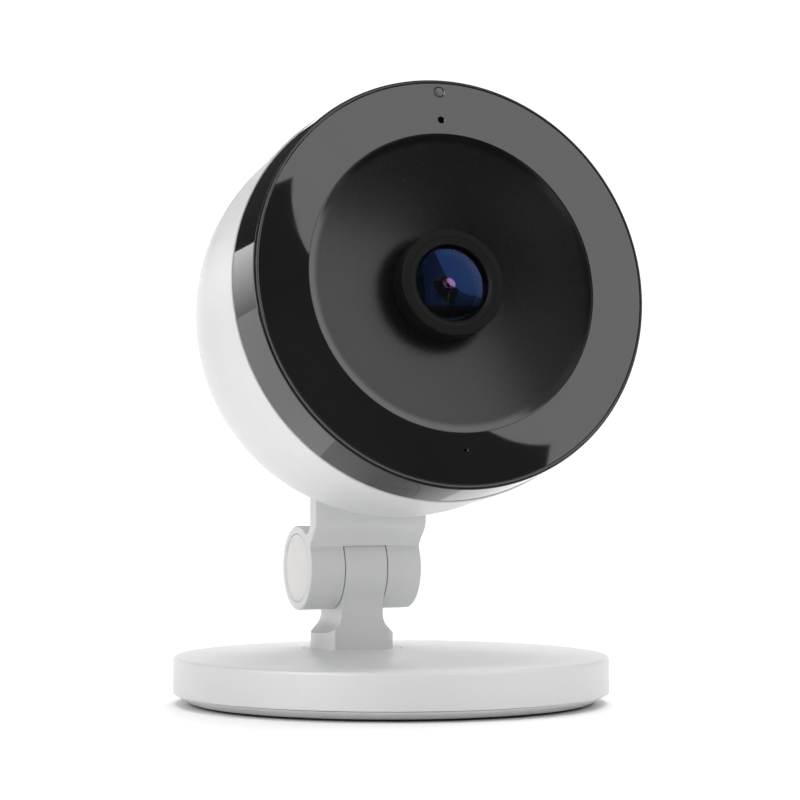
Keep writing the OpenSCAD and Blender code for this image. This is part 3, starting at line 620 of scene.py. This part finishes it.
def stem_front():
    """Front outline of the stem, in x and z: a wide foot that draws in to the tongue."""
    flare_r = FOOT_R - TONGUE_W / 2
    flare_z = BASE_H + FOOT_H + flare_r
    top = HINGE_H
    right_side = [(FOOT_R, BASE_H - 0.5), (FOOT_R, BASE_H + FOOT_H)]
    right_side += arc((FOOT_R, flare_z), flare_r, 270, 180, 12)[1:]
    right_side += [(TONGUE_W / 2, top)]
    return right_side + [(-x, z) for x, z in reversed(right_side)]


def tongue_outline():
    """Side outline of the tongue, in y and z from the hinge: a round top, hollow curves and flat faces."""
    face = TONGUE_D / 2
    centre_y = face + TONGUE_BLEND_R
    centre_z = -math.sqrt((HINGE_R + TONGUE_BLEND_R) ** 2 - centre_y**2)
    touch = math.degrees(math.atan2(-centre_z, centre_y))
    left = arc((-centre_y, centre_z), TONGUE_BLEND_R, 0, touch, 10)
    right_side = [(-y, z) for y, z in reversed(left)]
    top = arc((0, 0), HINGE_R, -touch, 180 + touch, 96)
    return [(-face, centre_z - 1)] + left + top[::-1][1:-1] + right_side + [(face, centre_z - 1)]


def make_stem():
    """The stem: a tongue with a round end on a round foot, and the flush disc that turns in the base."""
    upright = Matrix(((1, 0, 0, 0), (0, 0, -1, 0), (0, 1, 0, 0), (0, 0, 0, 1)))
    body = moved(prism("stem_piece", stem_front(), -TONGUE_D / 2, TONGUE_D / 2), upright)
    keep(body, lathe("round", [(0, 0), (FOOT_R, 0), (FOOT_R, HINGE_H + 9), (0, HINGE_H + 9)], 128))
    barrel = along_x(prism("barrel", tongue_outline(), -TONGUE_W / 2, TONGUE_W / 2))
    join(body, moved(barrel, Matrix.Translation((0, 0, HINGE_H))))
    soften(body, 0.28, least_angle=25)
    disc = [(0, 4.5), (SPIGOT_R, 4.5), (SPIGOT_R, 7.5), (SWIVEL_R, 7.5), (SWIVEL_R, BASE_H, 0.15),
            (0, BASE_H)]
    join(body, lathe("disc", rounded(disc, 4), 128))
    bore = along_x(prism("bore", circle(STEM_BORE_R, 48), -NECK_W / 2, NECK_W / 2))
    cut(body, moved(bore, Matrix.Translation((0, 0, HINGE_H))))
    place(body, STEM, "stem", "stem", WHITE)


def neck_outline():
    """Side outline of the neck, in y and z from the hinge: barrel, chin, and the upright plate in front."""
    nape_y = -PLATE_BACK + NAPE_R
    nape_z = math.sqrt((HINGE_R + NAPE_R) ** 2 - nape_y**2)
    touch = math.degrees(math.atan2(nape_z, nape_y))
    chin = math.degrees(math.atan2(3.95, -6.65))
    outline = rounded([(-PLATE_BACK, NECK_TOP), (-PLATE_FRONT, NECK_TOP), (-PLATE_FRONT, 7.7, 3.1),
                       (-7.4, 5.1, 1.6), (-6.9, 4.15)], 10)[:-1]
    outline += arc((0, 0), HINGE_R, chin, 360 + touch, 72)
    outline += arc((nape_y, nape_z), NAPE_R, touch - 180, -180, 10)[1:]
    return outline


def make_neck():
    """The neck: two round ears beside the stem's tongue, an upright plate, and a flange in the shell."""
    half_w = NECK_W / 2
    neck = along_x(prism("neck_bracket_piece", neck_outline(), -half_w, half_w))

    def at_side(edge):
        return all(abs(abs(v.co.x) - half_w) < 0.01 for v in edge.verts)

    soften(neck, 0.3, least_angle=40, chosen=at_side)
    slot_r = HINGE_R + EAR_GAP
    slot = arc((0, 0), slot_r, 0, 180, 64) + [(-16, 0), (-16, -16), (16, -16), (16, 0)]
    cut(neck, along_x(prism("slot", slot, -SLOT_W / 2, SLOT_W / 2)))

    def beside_slot(edge):
        at_wall = all(abs(abs(v.co.x) - SLOT_W / 2) < 0.01 for v in edge.verts)
        at_top = all(v.co.y < -6 and abs(math.hypot(v.co.y, v.co.z) - slot_r) < 0.01 for v in edge.verts)
        return at_wall or at_top

    soften(neck, 0.12, least_angle=40, segments=2, chosen=beside_slot)
    seat = [(0, 0), (CAP_R + 0.05, 0), (CAP_R + 0.05, CAP_DEPTH - 0.15), (CAP_R + 0.1, CAP_DEPTH - 0.05),
            (CAP_R + 0.2, CAP_DEPTH), (CAP_R + 0.2, CAP_DEPTH + 1), (0, CAP_DEPTH + 1)]
    for side in (-1, 1):
        quarter = Matrix.Rotation(side * math.pi / 2, 4, "Y")
        cut(neck, moved(lathe("seat", seat, 96), quarter @ Matrix.Translation((0, 0, half_w - CAP_DEPTH))))
    bore = prism("bore", circle(NECK_BORE_R, 48), -half_w, half_w)
    head_pocket = prism("pocket", circle(BOLT_POCKET_R, 48), -half_w, -POCKET_X)
    nut_pocket = prism("pocket", circle(NUT_POCKET_R, 6), POCKET_X, half_w)
    cut(neck, along_x(bore), along_x(head_pocket), along_x(nut_pocket))
    join(neck, make_flange())
    place(neck, HINGE, "head", "neck_bracket", WHITE)


def make_flange():
    """The flange at the neck's top, which two screws hold to the inside of the shell."""
    dome_at = HINGE.inverted() @ HEAD @ Vector((0, 0, DOME_Z))
    reach = -(PLATE_FRONT + PLATE_BACK) / 2 - dome_at.y
    tip = math.asin(forward.z) + math.asin(reach / (DOME_R - SHELL_T)) - math.pi / 2
    flange = prism("flange", [(-15, -5), (15, -5), (15, 5), (-15, 5)], -28.5, -26.5)
    for x in (-13, 13):
        hole = prism("hole", circle(1.15, 24, (x, 0)), -30, -20)
        cut(flange, hole)
    to_head = HINGE.inverted() @ HEAD @ Matrix.Translation((0, 0, DOME_Z))
    return moved(flange, to_head @ Matrix.Rotation(tip, 4, "X"))


def make_caps():
    """The caps over the hinge's bolt and nut: flat faces set just below a thin rim."""
    outline = [(0, 0), (CAP_R, 0), (CAP_R, CAP_RIM_Z, 0.22), (5.75, CAP_RIM_Z, 0.08),
               (5.62, CAP_FACE_Z, 0.08), (0, CAP_FACE_Z)]
    for side, node in ((-1, "left_cap"), (1, "right_cap")):
        cap = lathe(node + "_piece", rounded(outline, 5), 144)
        quarter = Matrix.Rotation(side * math.pi / 2, 4, "Y")
        moved(cap, quarter @ Matrix.Translation((0, 0, NECK_W / 2 - CAP_DEPTH)))
        place(cap, HINGE, "head", node, CAP_WHITE)


# ---- Head ----


def dome_outline(inset, front_z, steps=40):
    """Half outline of the shell, pulled in by inset: a tapered side and a round back, from front to pole."""
    r = DOME_R - inset
    tangent_z = DOME_Z + r * math.sin(TAPER)
    front_r = r * math.cos(TAPER) + (front_z - tangent_z) * math.tan(TAPER)
    back = arc((0, DOME_Z), r, math.degrees(TAPER), -90, steps)
    steps_r = back[0][0] - front_r
    steps_z = tangent_z - front_z
    side = [(front_r + steps_r * i / 6, front_z + steps_z * i / 6) for i in range(6)]
    return side + back[:-1] + [(0, DOME_Z - r)]


def around(count, radius, start, make):
    """Copies of a piece at equal angles on a circle."""
    angles = [math.radians(start + 360 * i / count) for i in range(count)]
    places = [(radius * math.cos(a), radius * math.sin(a), 0) for a in angles]
    return [moved(make(), Matrix.Translation(p)) for p in places]


def rounded_box(w, h, radius, low, high, steps=8):
    x, y = w / 2, h / 2
    corners = [(-x, -y, radius), (x, -y, radius), (x, y, radius), (-x, y, radius)]
    return prism("box", rounded(corners, steps), low, high)


def make_rear_shell():
    """The white shell: a tapered side and a round back, open for the neck, screws, inlet and button."""
    front_z = -BAND_L - 0.12
    outside = dome_outline(0, front_z)
    edge_r = outside[0][0]
    lip = [(edge_r - 1.9, front_z), (edge_r - 0.2, front_z), (edge_r - 0.06, front_z - 0.06)]
    inside = dome_outline(SHELL_T, front_z)
    shell = lathe("rear_shell_piece", lip + [(edge_r, front_z - 0.2)] + outside[1:] + inside[::-1][:-1], 256)
    end_z = DOME_Z - DOME_R - 1
    cut(shell, *around(3, SCREW_PLACE, 90, lambda: prism("hole", circle(2.8, 64), end_z, -30)))
    at_inlet = Matrix.Translation((0, INLET_Y, 0))
    join(shell, moved(rounded_box(16, 10, 1.5, INLET_FLOOR_Z - 0.3, INLET_FLOOR_Z + 1.5), at_inlet))
    cut(shell, moved(rounded_box(13, 7, 1.6, end_z, INLET_FLOOR_Z), at_inlet))
    cut(shell, moved(rounded_box(8, 3.2, 1.5, INLET_FLOOR_Z - 2, INLET_FLOOR_Z + 3), at_inlet))
    button_hole = prism("hole", circle(BUTTON_R + 0.06, 64), end_z, -54)
    cut(shell, moved(button_hole, Matrix.Translation((0, BUTTON_Y, 0))))
    half_w = NECK_W / 2 + 0.1
    front_y = -PLATE_FRONT - 0.1
    back_y = -PLATE_BACK + 0.1
    plate = [(-half_w, front_y), (half_w, front_y), (half_w, back_y), (-half_w, back_y)]
    cut(shell, moved(prism("slot", plate, 8.96, 26.9), HEAD.inverted() @ HINGE))
    soften(shell, 0.14, least_angle=34, segments=2)
    place(shell, HEAD, "head", "rear_shell", WHITE, smooth=28)


def make_screw_plugs():
    """The plugs over the case screws: their ends follow the dome, a little below it."""
    dome = lathe("screw_plugs_piece", dome_outline(0.06, -20), 256)
    plugs = around(3, SCREW_PLACE, 90, lambda: prism("plug", circle(PLUG_R, 64), -62, -42))
    first = plugs.pop()
    for plug in plugs:
        join(first, plug)
    keep(dome, first)
    soften(dome, 0.16, least_angle=30, segments=3)
    place(dome, HEAD, "head", "screw_plugs", WHITE)


def make_bezel_band():
    """The glossy black band: a thin land round the window, a groove, a chamfered shoulder and the side."""
    land = [(WINDOW_R + 0.05, -0.35), (WINDOW_R + 0.07, -0.065, 0.02), (35.58, -0.03, 0.03)]
    groove = [(35.63, -0.5, 0.04), (35.76, -0.5, 0.04), (35.8, -0.34, 0.04)]
    shoulder = [(35.93, -0.54, 0.06), (35.98, -2), (36.28, -BAND_L, 0.16)]
    inside = [(34.2, -BAND_L), (34.2, -13.5), (33, -13.5), (33, -8), (31.5, -8), (31.5, -6.6), (33, -6.6),
              (33, -1.65)]
    outline = [(WINDOW_R + 0.05, -1.65)] + land + groove + shoulder + inside
    band = lathe("bezel_band_piece", rounded(outline, 6), 256)
    join(band, *around(3, SCREW_PLACE, 90, lambda: prism("lug", circle(3, 48), -20.2, -12)))
    for turn in (90, 210, 330):
        arm = prism("arm", [(SCREW_PLACE, -2.4), (33.5, -2.4), (33.5, 2.4), (SCREW_PLACE, 2.4)], -13.5, -12.2)
        join(band, moved(arm, Matrix.Rotation(math.radians(turn), 4, "Z")))
    cut(band, *around(3, SCREW_PLACE, 90, lambda: prism("hole", circle(1.2, 32), -21, -13)))
    cut(band, moved(rounded_box(2, 2.7, 0.3, -4, -0.8, 3), Matrix.Translation((0, 33.35, 0))))
    place(band, HEAD, "head", "bezel_band", BAND_BLACK)


def flared_hole(radius, flare):
    """A cutter for a hole whose mouth at the window's face is slightly countersunk."""
    outline = [(0, -3), (radius, -3), (radius, -flare), (radius + flare, 0), (radius + flare, 1), (0, 1)]
    return lathe("hole", outline, 48)


def make_front_window():
    """The smoked window: a flat polished ring with holes for the light, the sensor and the microphone."""
    inner_r = DISH_R + 0.02
    outline = [(inner_r, -WINDOW_T), (WINDOW_R, -WINDOW_T), (WINDOW_R, 0, 0.1), (inner_r, 0, 0.03)]
    window = lathe("front_window_piece", rounded(outline, 6), 256)
    holes = ((STATUS_UP, STATUS_R + 0.05, 0.12), (SENSOR_UP, SENSOR_R, 0.06), (-MIC_DOWN, MIC_R, 0.06))
    for up, radius, flare in holes:
        cut(window, moved(flared_hole(radius, flare), Matrix.Translation((0, up, 0))))
    place(window, HEAD, "head", "front_window", WINDOW_BLACK)


def make_dish():
    """The satin dish between the window and the lens: part of a large sphere, with a rounded edge."""
    centre_z = math.sqrt(DISH_CURVE**2 - DISH_R**2)
    inner_r = BARREL_R + 0.05
    start = math.degrees(math.asin(inner_r / DISH_CURVE))
    end = math.degrees(math.asin((DISH_R - 0.15) / DISH_CURVE))
    bowl = arc((0, centre_z), DISH_CURVE, start - 90, end - 90, 64)
    edge = [(DISH_R - 0.04, bowl[-1][1] + 0.02), (DISH_R, bowl[-1][1] - 0.03)]
    back = [(DISH_R, -1.65), (28, -1.65), (28, -2.7), (24.5, -2.7), (18, -5.1), (12.4, -5.9), (10.65, -6.1),
            (10.65, -7), (inner_r, -7)]
    dish = lathe("dish_piece", bowl + edge + back, 256)
    posts = [(x, y) for x in (-12, 12) for y in (-12, 12)]
    join(dish, *[prism("post", circle(2.4, 32, p), -17.4, -5) for p in posts])
    cut(dish, *[prism("hole", circle(1.05, 24, p), -18, -10.6) for p in posts])
    polish = dish.data.attributes.new("edge_polish", "FLOAT", "POINT")
    for vertex, value in zip(dish.data.vertices, polish.data):
        share = min(1, max(0, (math.hypot(*vertex.co[:2]) - 24.3) / 1.3))
        value.value = share * share * (3 - 2 * share)
    place(dish, HEAD, "head", "dish", DISH_BLACK)


def make_lens():
    """The lens: a black barrel, a retaining ring with a slanted lip, and the coated front element."""
    outside = [(7.9, 0, 0.03), (BARREL_R, 0, 0.3), (BARREL_R, -7.4, 0.2), (6.5, -7.4), (6.5, -13.4)]
    bore = [(3.5, -13.4), (3.5, -12.5), (4.25, -12.5), (4.25, -6.7), (5.25, -6.7), (5.25, -3.4),
            (7.25, -3.4), (7.25, -1.4), (7.9, -1.4)]
    barrel = lathe("lens_barrel_piece", rounded(outside + bore, 5))
    place(barrel, HEAD, "head", "lens_barrel", BARREL_BLACK)
    lip = [(GLASS_R, -1.35), (7.87, -1.35), (7.87, -0.06, 0.03), (7.25, -0.12, 0.1), (GLASS_R, -0.45, 0.1),
           (GLASS_R, -0.9)]
    ring = lathe("lens_retainer_piece", rounded(lip, 4))
    place(ring, HEAD, "head", "lens_retainer", RETAINER_BLACK)
    apex = 0.1
    curve = 17.5
    edge = math.degrees(math.asin(7.2 / curve))
    front = arc((0, apex - curve), curve, 90, 90 - edge, 24)
    hollow = arc((0, -11.3), 9.0, 90 - math.degrees(math.acos(8 / 9.0)), 90, 16)
    lens = lathe("front_lens_piece", [(0, apex)] + front[1:] + [(7.2, -3.3)] + hollow[:-1] + [(0, -2.3)])
    behind = [face.index for face in lens.data.polygons if face.normal.z < 0.5]
    place(lens, HEAD, "head", "front_lens", LENS_GLASS)
    lens.data.materials.append(CEMENTED_GLASS)
    for index in behind:
        lens.data.polygons[index].material_index = 1


def make_rear_lenses():
    """The inner lenses: a small bulging element in a black mount, and a thick one near the back."""
    bulge_r = 3.8
    bulge = arc((0, -2.75 - bulge_r), bulge_r, 90, 74.5, 16)
    edge_r = bulge[-1][0]
    mount = [(edge_r, -3.4), (2.3, -3.9, 0.3), (3.1, -4.3, 0.3), (5.2, -4.9, 0.1), (5.2, -6.6, 0.1),
             (0, -6.6)]
    lenses = lathe("rear_lenses_piece", bulge + rounded(mount, 4), 128)
    back_curve = arc((0, -21.8), 12, 90, 69.5, 8)
    join(lenses, lathe("back_lens", back_curve + [(4.2, -12.4), (0, -12.4)], 96))

    def on_mount(face):
        return math.hypot(*face.center[:2]) > edge_r - 0.01 and face.center.z > -7

    dull = [face.index for face in lenses.data.polygons if on_mount(face)]
    place(lenses, HEAD, "head", "rear_lenses", INNER_GLASS)
    lenses.data.materials.append(BARREL_BLACK)
    for index in dull:
        lenses.data.polygons[index].material_index = 1


def make_status_light():
    """The end of the clear pipe that carries the status lamp's light."""
    pipe = lathe("pipe", rounded([(0, -3.4), (STATUS_R, -3.4), (STATUS_R, -0.12, 0.12), (0, -0.12)], 4), 48)
    join(pipe, prism("foot", [(-0.7, -2.9), (0.7, -2.9), (0.7, 0), (-0.7, 0)], -3.9, -3))
    pipe.name = "status_light_piece"
    moved(pipe, Matrix.Translation((0, STATUS_UP, 0)))
    place(pipe, HEAD, "head", "status_light", LIGHT_PIPE)


def make_reset_button():
    """The reset button at the back, with a finger dimple in its end."""
    tip = -62.7
    outline = [(0, -54.6), (1.2, -54.6), (1.2, -58.4), (3.1, -58.4), (3.1, -59.2), (BUTTON_R, -59.2),
               (BUTTON_R, tip, 0.35), (1.5, tip, 0.3), (1.1, tip + 0.18, 0.3), (0, tip + 0.25)]
    button = moved(lathe("reset_button_piece", rounded(outline, 4), 96), Matrix.Translation((0, BUTTON_Y, 0)))
    place(button, HEAD, "button", "reset_button", CAP_WHITE)


def make_power_inlet():
    """The power inlet: a thin steel sleeve round a tongue."""
    sleeve = rounded_box(7.6, 2.8, 1.3, INLET_FRONT_Z, INLET_BACK_Z)
    cut(sleeve, rounded_box(7.0, 2.2, 1.0, INLET_FRONT_Z - 1, INLET_BACK_Z - 1.2))
    join(sleeve, rounded_box(4.6, 0.7, 0.2, INLET_FRONT_Z + 0.8, INLET_BACK_Z - 0.5, 3))
    soften(sleeve, 0.06, least_angle=50, segments=2)
    sleeve.name = "power_inlet_piece"
    moved(sleeve, Matrix.Translation((0, INLET_Y, 0)))
    place(sleeve, HEAD, "head", "power_inlet", STEEL)


# ---- Stage: floor, light and camera ----


def emission(name, strength):
    """Plain light; a pair of strengths is shaded from the card's foot to its top."""
    material = bpy.data.materials.new(name)
    material.use_nodes = True
    tree = material.node_tree
    tree.nodes.clear()
    out = tree.nodes.new("ShaderNodeOutputMaterial")
    light = tree.nodes.new("ShaderNodeEmission")
    light.inputs["Color"].default_value = (1, 1, 1, 1)
    if isinstance(strength, tuple):
        coordinates = tree.nodes.new("ShaderNodeTexCoord")
        split = tree.nodes.new("ShaderNodeSeparateXYZ")
        shade = tree.nodes.new("ShaderNodeMapRange")
        shade.inputs["To Min"].default_value, shade.inputs["To Max"].default_value = strength
        tree.links.new(coordinates.outputs["Generated"], split.inputs["Vector"])
        tree.links.new(split.outputs["Z"], shade.inputs["Value"])
        tree.links.new(shade.outputs["Result"], light.inputs["Strength"])
    else:
        light.inputs["Strength"].default_value = strength
    tree.links.new(light.outputs["Emission"], out.inputs["Surface"])
    return material


def make_card(name, corners, radiance, matrix=Matrix()):
    """A flat or curved strip of light, or of darkness, that only reflections see; corners come in rows."""
    bm = bmesh.new()
    rows = [[bm.verts.new(matrix @ Vector(c)) for c in row] for row in corners]
    for low, high in zip(rows, rows[1:]):
        for i in range(len(low) - 1):
            bm.faces.new((low[i], low[i + 1], high[i + 1], high[i]))
    card = new_object(name, bm)
    card.data.materials.append(emission(name, radiance))
    card.visible_camera = False
    card.visible_diffuse = False
    card.visible_shadow = False
    card.visible_volume_scatter = False


def wall(radius, start, end, low, high):
    """Rows of a round wall about the object, between two angles from +X and two heights, in metres."""
    return [[(x, y, z) for x, y in arc((0, 0), radius, start, end, 24)] for z in (low, high)]


def make_floor():
    """A large white table top with a faint, even texture."""
    n = Nodes("floor_white")
    n.put(
        Base_Color=n.ramp(n.noise(3), [(0.3, grey(0.91)), (0.7, grey(0.93))]),
        Roughness=n.span(n.noise(40), 0.6, 0.7),
        Specular_IOR_Level=0.2,
    )
    floor = lathe("floor", [(0, -0.004), (1.2, -0.004), (1.2, 0), (0, 0)], 96)
    floor.data.materials.append(n.material)


def make_reflections():
    """Cards that only reflections see.

    The bright panel at the front right, and the dark flag across its corner, are set out on the window's
    face and carried away from it along the mirrored line of sight. Low walls stand at the back and left,
    and dark ground lies in front."""
    eye = HEAD.inverted() @ CAMERA_AT
    mirrored_eye = Vector((eye.x, eye.y, -eye.z))

    def carried(point, reach):
        return mirrored_eye + reach * (Vector((point[0], point[1], 0)) - mirrored_eye)

    def rows(inner, outer, reach):
        return [[carried(p, reach) for p in inner], [carried(p, reach) for p in outer]]

    near = [(-81, 650)] + arc((152, 148), 233, 180, 270, 24) + [(900, -85)]
    far = [(-81 + 75.5 * i, 650) for i in range(14)] + [(900, 650 - 56.5 * i) for i in range(1, 14)]
    make_card("bright_panel", rows(near, far, 4.2), PANEL_LIGHT, HEAD)
    make_card("soft_surround", rows([(-230, -230), (900, -230)], [(-230, 650), (900, 650)], 4.6), 0.45, HEAD)
    inner = arc((-9.4, 13.7), 19, 168, 225, 16) + arc((14.2, -8.4), 20, 225, 274.6, 16)
    outer = arc((16, 15.6), 101, 191, 260.8, 33)
    make_card("dark_flag", rows(inner, outer, 1.6), 0.02, HEAD)
    make_card("left_wall", wall(1.5, 98, 128, -0.02, 0.345), (0.7, 2.5))
    make_card("back_wall", wall(1.5, 40, 97.9, -0.02, 0.35), 1.9)
    make_card("right_wall", wall(1.5, -10, 39.9, -0.02, 0.35), 0.6)
    make_card("left_panel", wall(1.4, 175, 225, 0.1, 2.4), 5.5)
    ground = [[(x, y, 0.001) for x in (-1.4, 1.4)] for y in (-1.4, -0.25)]
    make_card("dark_ground", ground, 0.01)


def area_light(name, at, towards, size, strength):
    light = bpy.data.lights.new(name, "AREA")
    light.shape = "RECTANGLE"
    light.size, light.size_y = size
    light.energy = strength
    obj = bpy.data.objects.new(name, light)
    obj.location = at
    obj.rotation_euler = (Vector(towards) - Vector(at)).to_track_quat("-Z", "Y").to_euler()
    obj.visible_glossy = False
    bpy.context.scene.collection.objects.link(obj)


def make_world():
    """White for the camera, soft and even for the matt surfaces, and a dim room for reflections."""
    world = bpy.data.worlds.new("studio")
    world.use_nodes = True
    bpy.context.scene.world = world
    tree = world.node_tree
    tree.nodes.clear()
    path = tree.nodes.new("ShaderNodeLightPath")
    out = tree.nodes.new("ShaderNodeOutputWorld")
    white, soft, dim = [tree.nodes.new("ShaderNodeBackground") for _ in range(3)]
    for background, strength in ((white, BACKDROP_LIGHT), (soft, SKY_LIGHT), (dim, ROOM_LIGHT)):
        background.inputs["Color"].default_value = (1, 1, 1, 1)
        background.inputs["Strength"].default_value = strength
    lit, seen = [tree.nodes.new("ShaderNodeMixShader") for _ in range(2)]
    tree.links.new(path.outputs["Is Diffuse Ray"], lit.inputs["Fac"])
    tree.links.new(dim.outputs[0], lit.inputs[1])
    tree.links.new(soft.outputs[0], lit.inputs[2])
    tree.links.new(path.outputs["Is Camera Ray"], seen.inputs["Fac"])
    tree.links.new(lit.outputs[0], seen.inputs[1])
    tree.links.new(white.outputs[0], seen.inputs[2])
    tree.links.new(seen.outputs[0], out.inputs["Surface"])


def make_camera():
    camera = bpy.data.cameras.new("camera")
    camera.sensor_width = 36
    camera.lens = 135
    camera.clip_start = 0.01
    obj = bpy.data.objects.new("camera", camera)
    obj.location = CAMERA_AT
    obj.rotation_euler = (math.radians(90 + CAMERA_PITCH), 0, math.radians(-CAMERA_HEADING))
    bpy.context.scene.collection.objects.link(obj)
    bpy.context.scene.camera = obj


dress_carried_nodes()
make_rubber_pad()
make_base_plate()
make_base_cover()
make_stem()
make_neck()
make_caps()
make_rear_shell()
make_screw_plugs()
make_bezel_band()
make_front_window()
make_dish()
make_lens()
make_rear_lenses()
make_status_light()
make_reset_button()
make_power_inlet()

make_floor()
make_world()
make_camera()
make_reflections()
area_light("left", (-3.0, -0.3, 1.8), (0, 0, 0.05), (2.4, 2.4), 14)
area_light("front", (-0.3, -3.0, 1.6), (0, 0, 0.02), (3, 0.8), 9)
area_light("top", (0.2, 0.3, 3.5), (0, 0, 0), (3, 3), 106)
area_light("back", (2.3, 2.4, 1.9), (0, 0, 0.05), (2.4, 2.0), 50)
bpy.context.scene.view_settings.view_transform = "Standard"
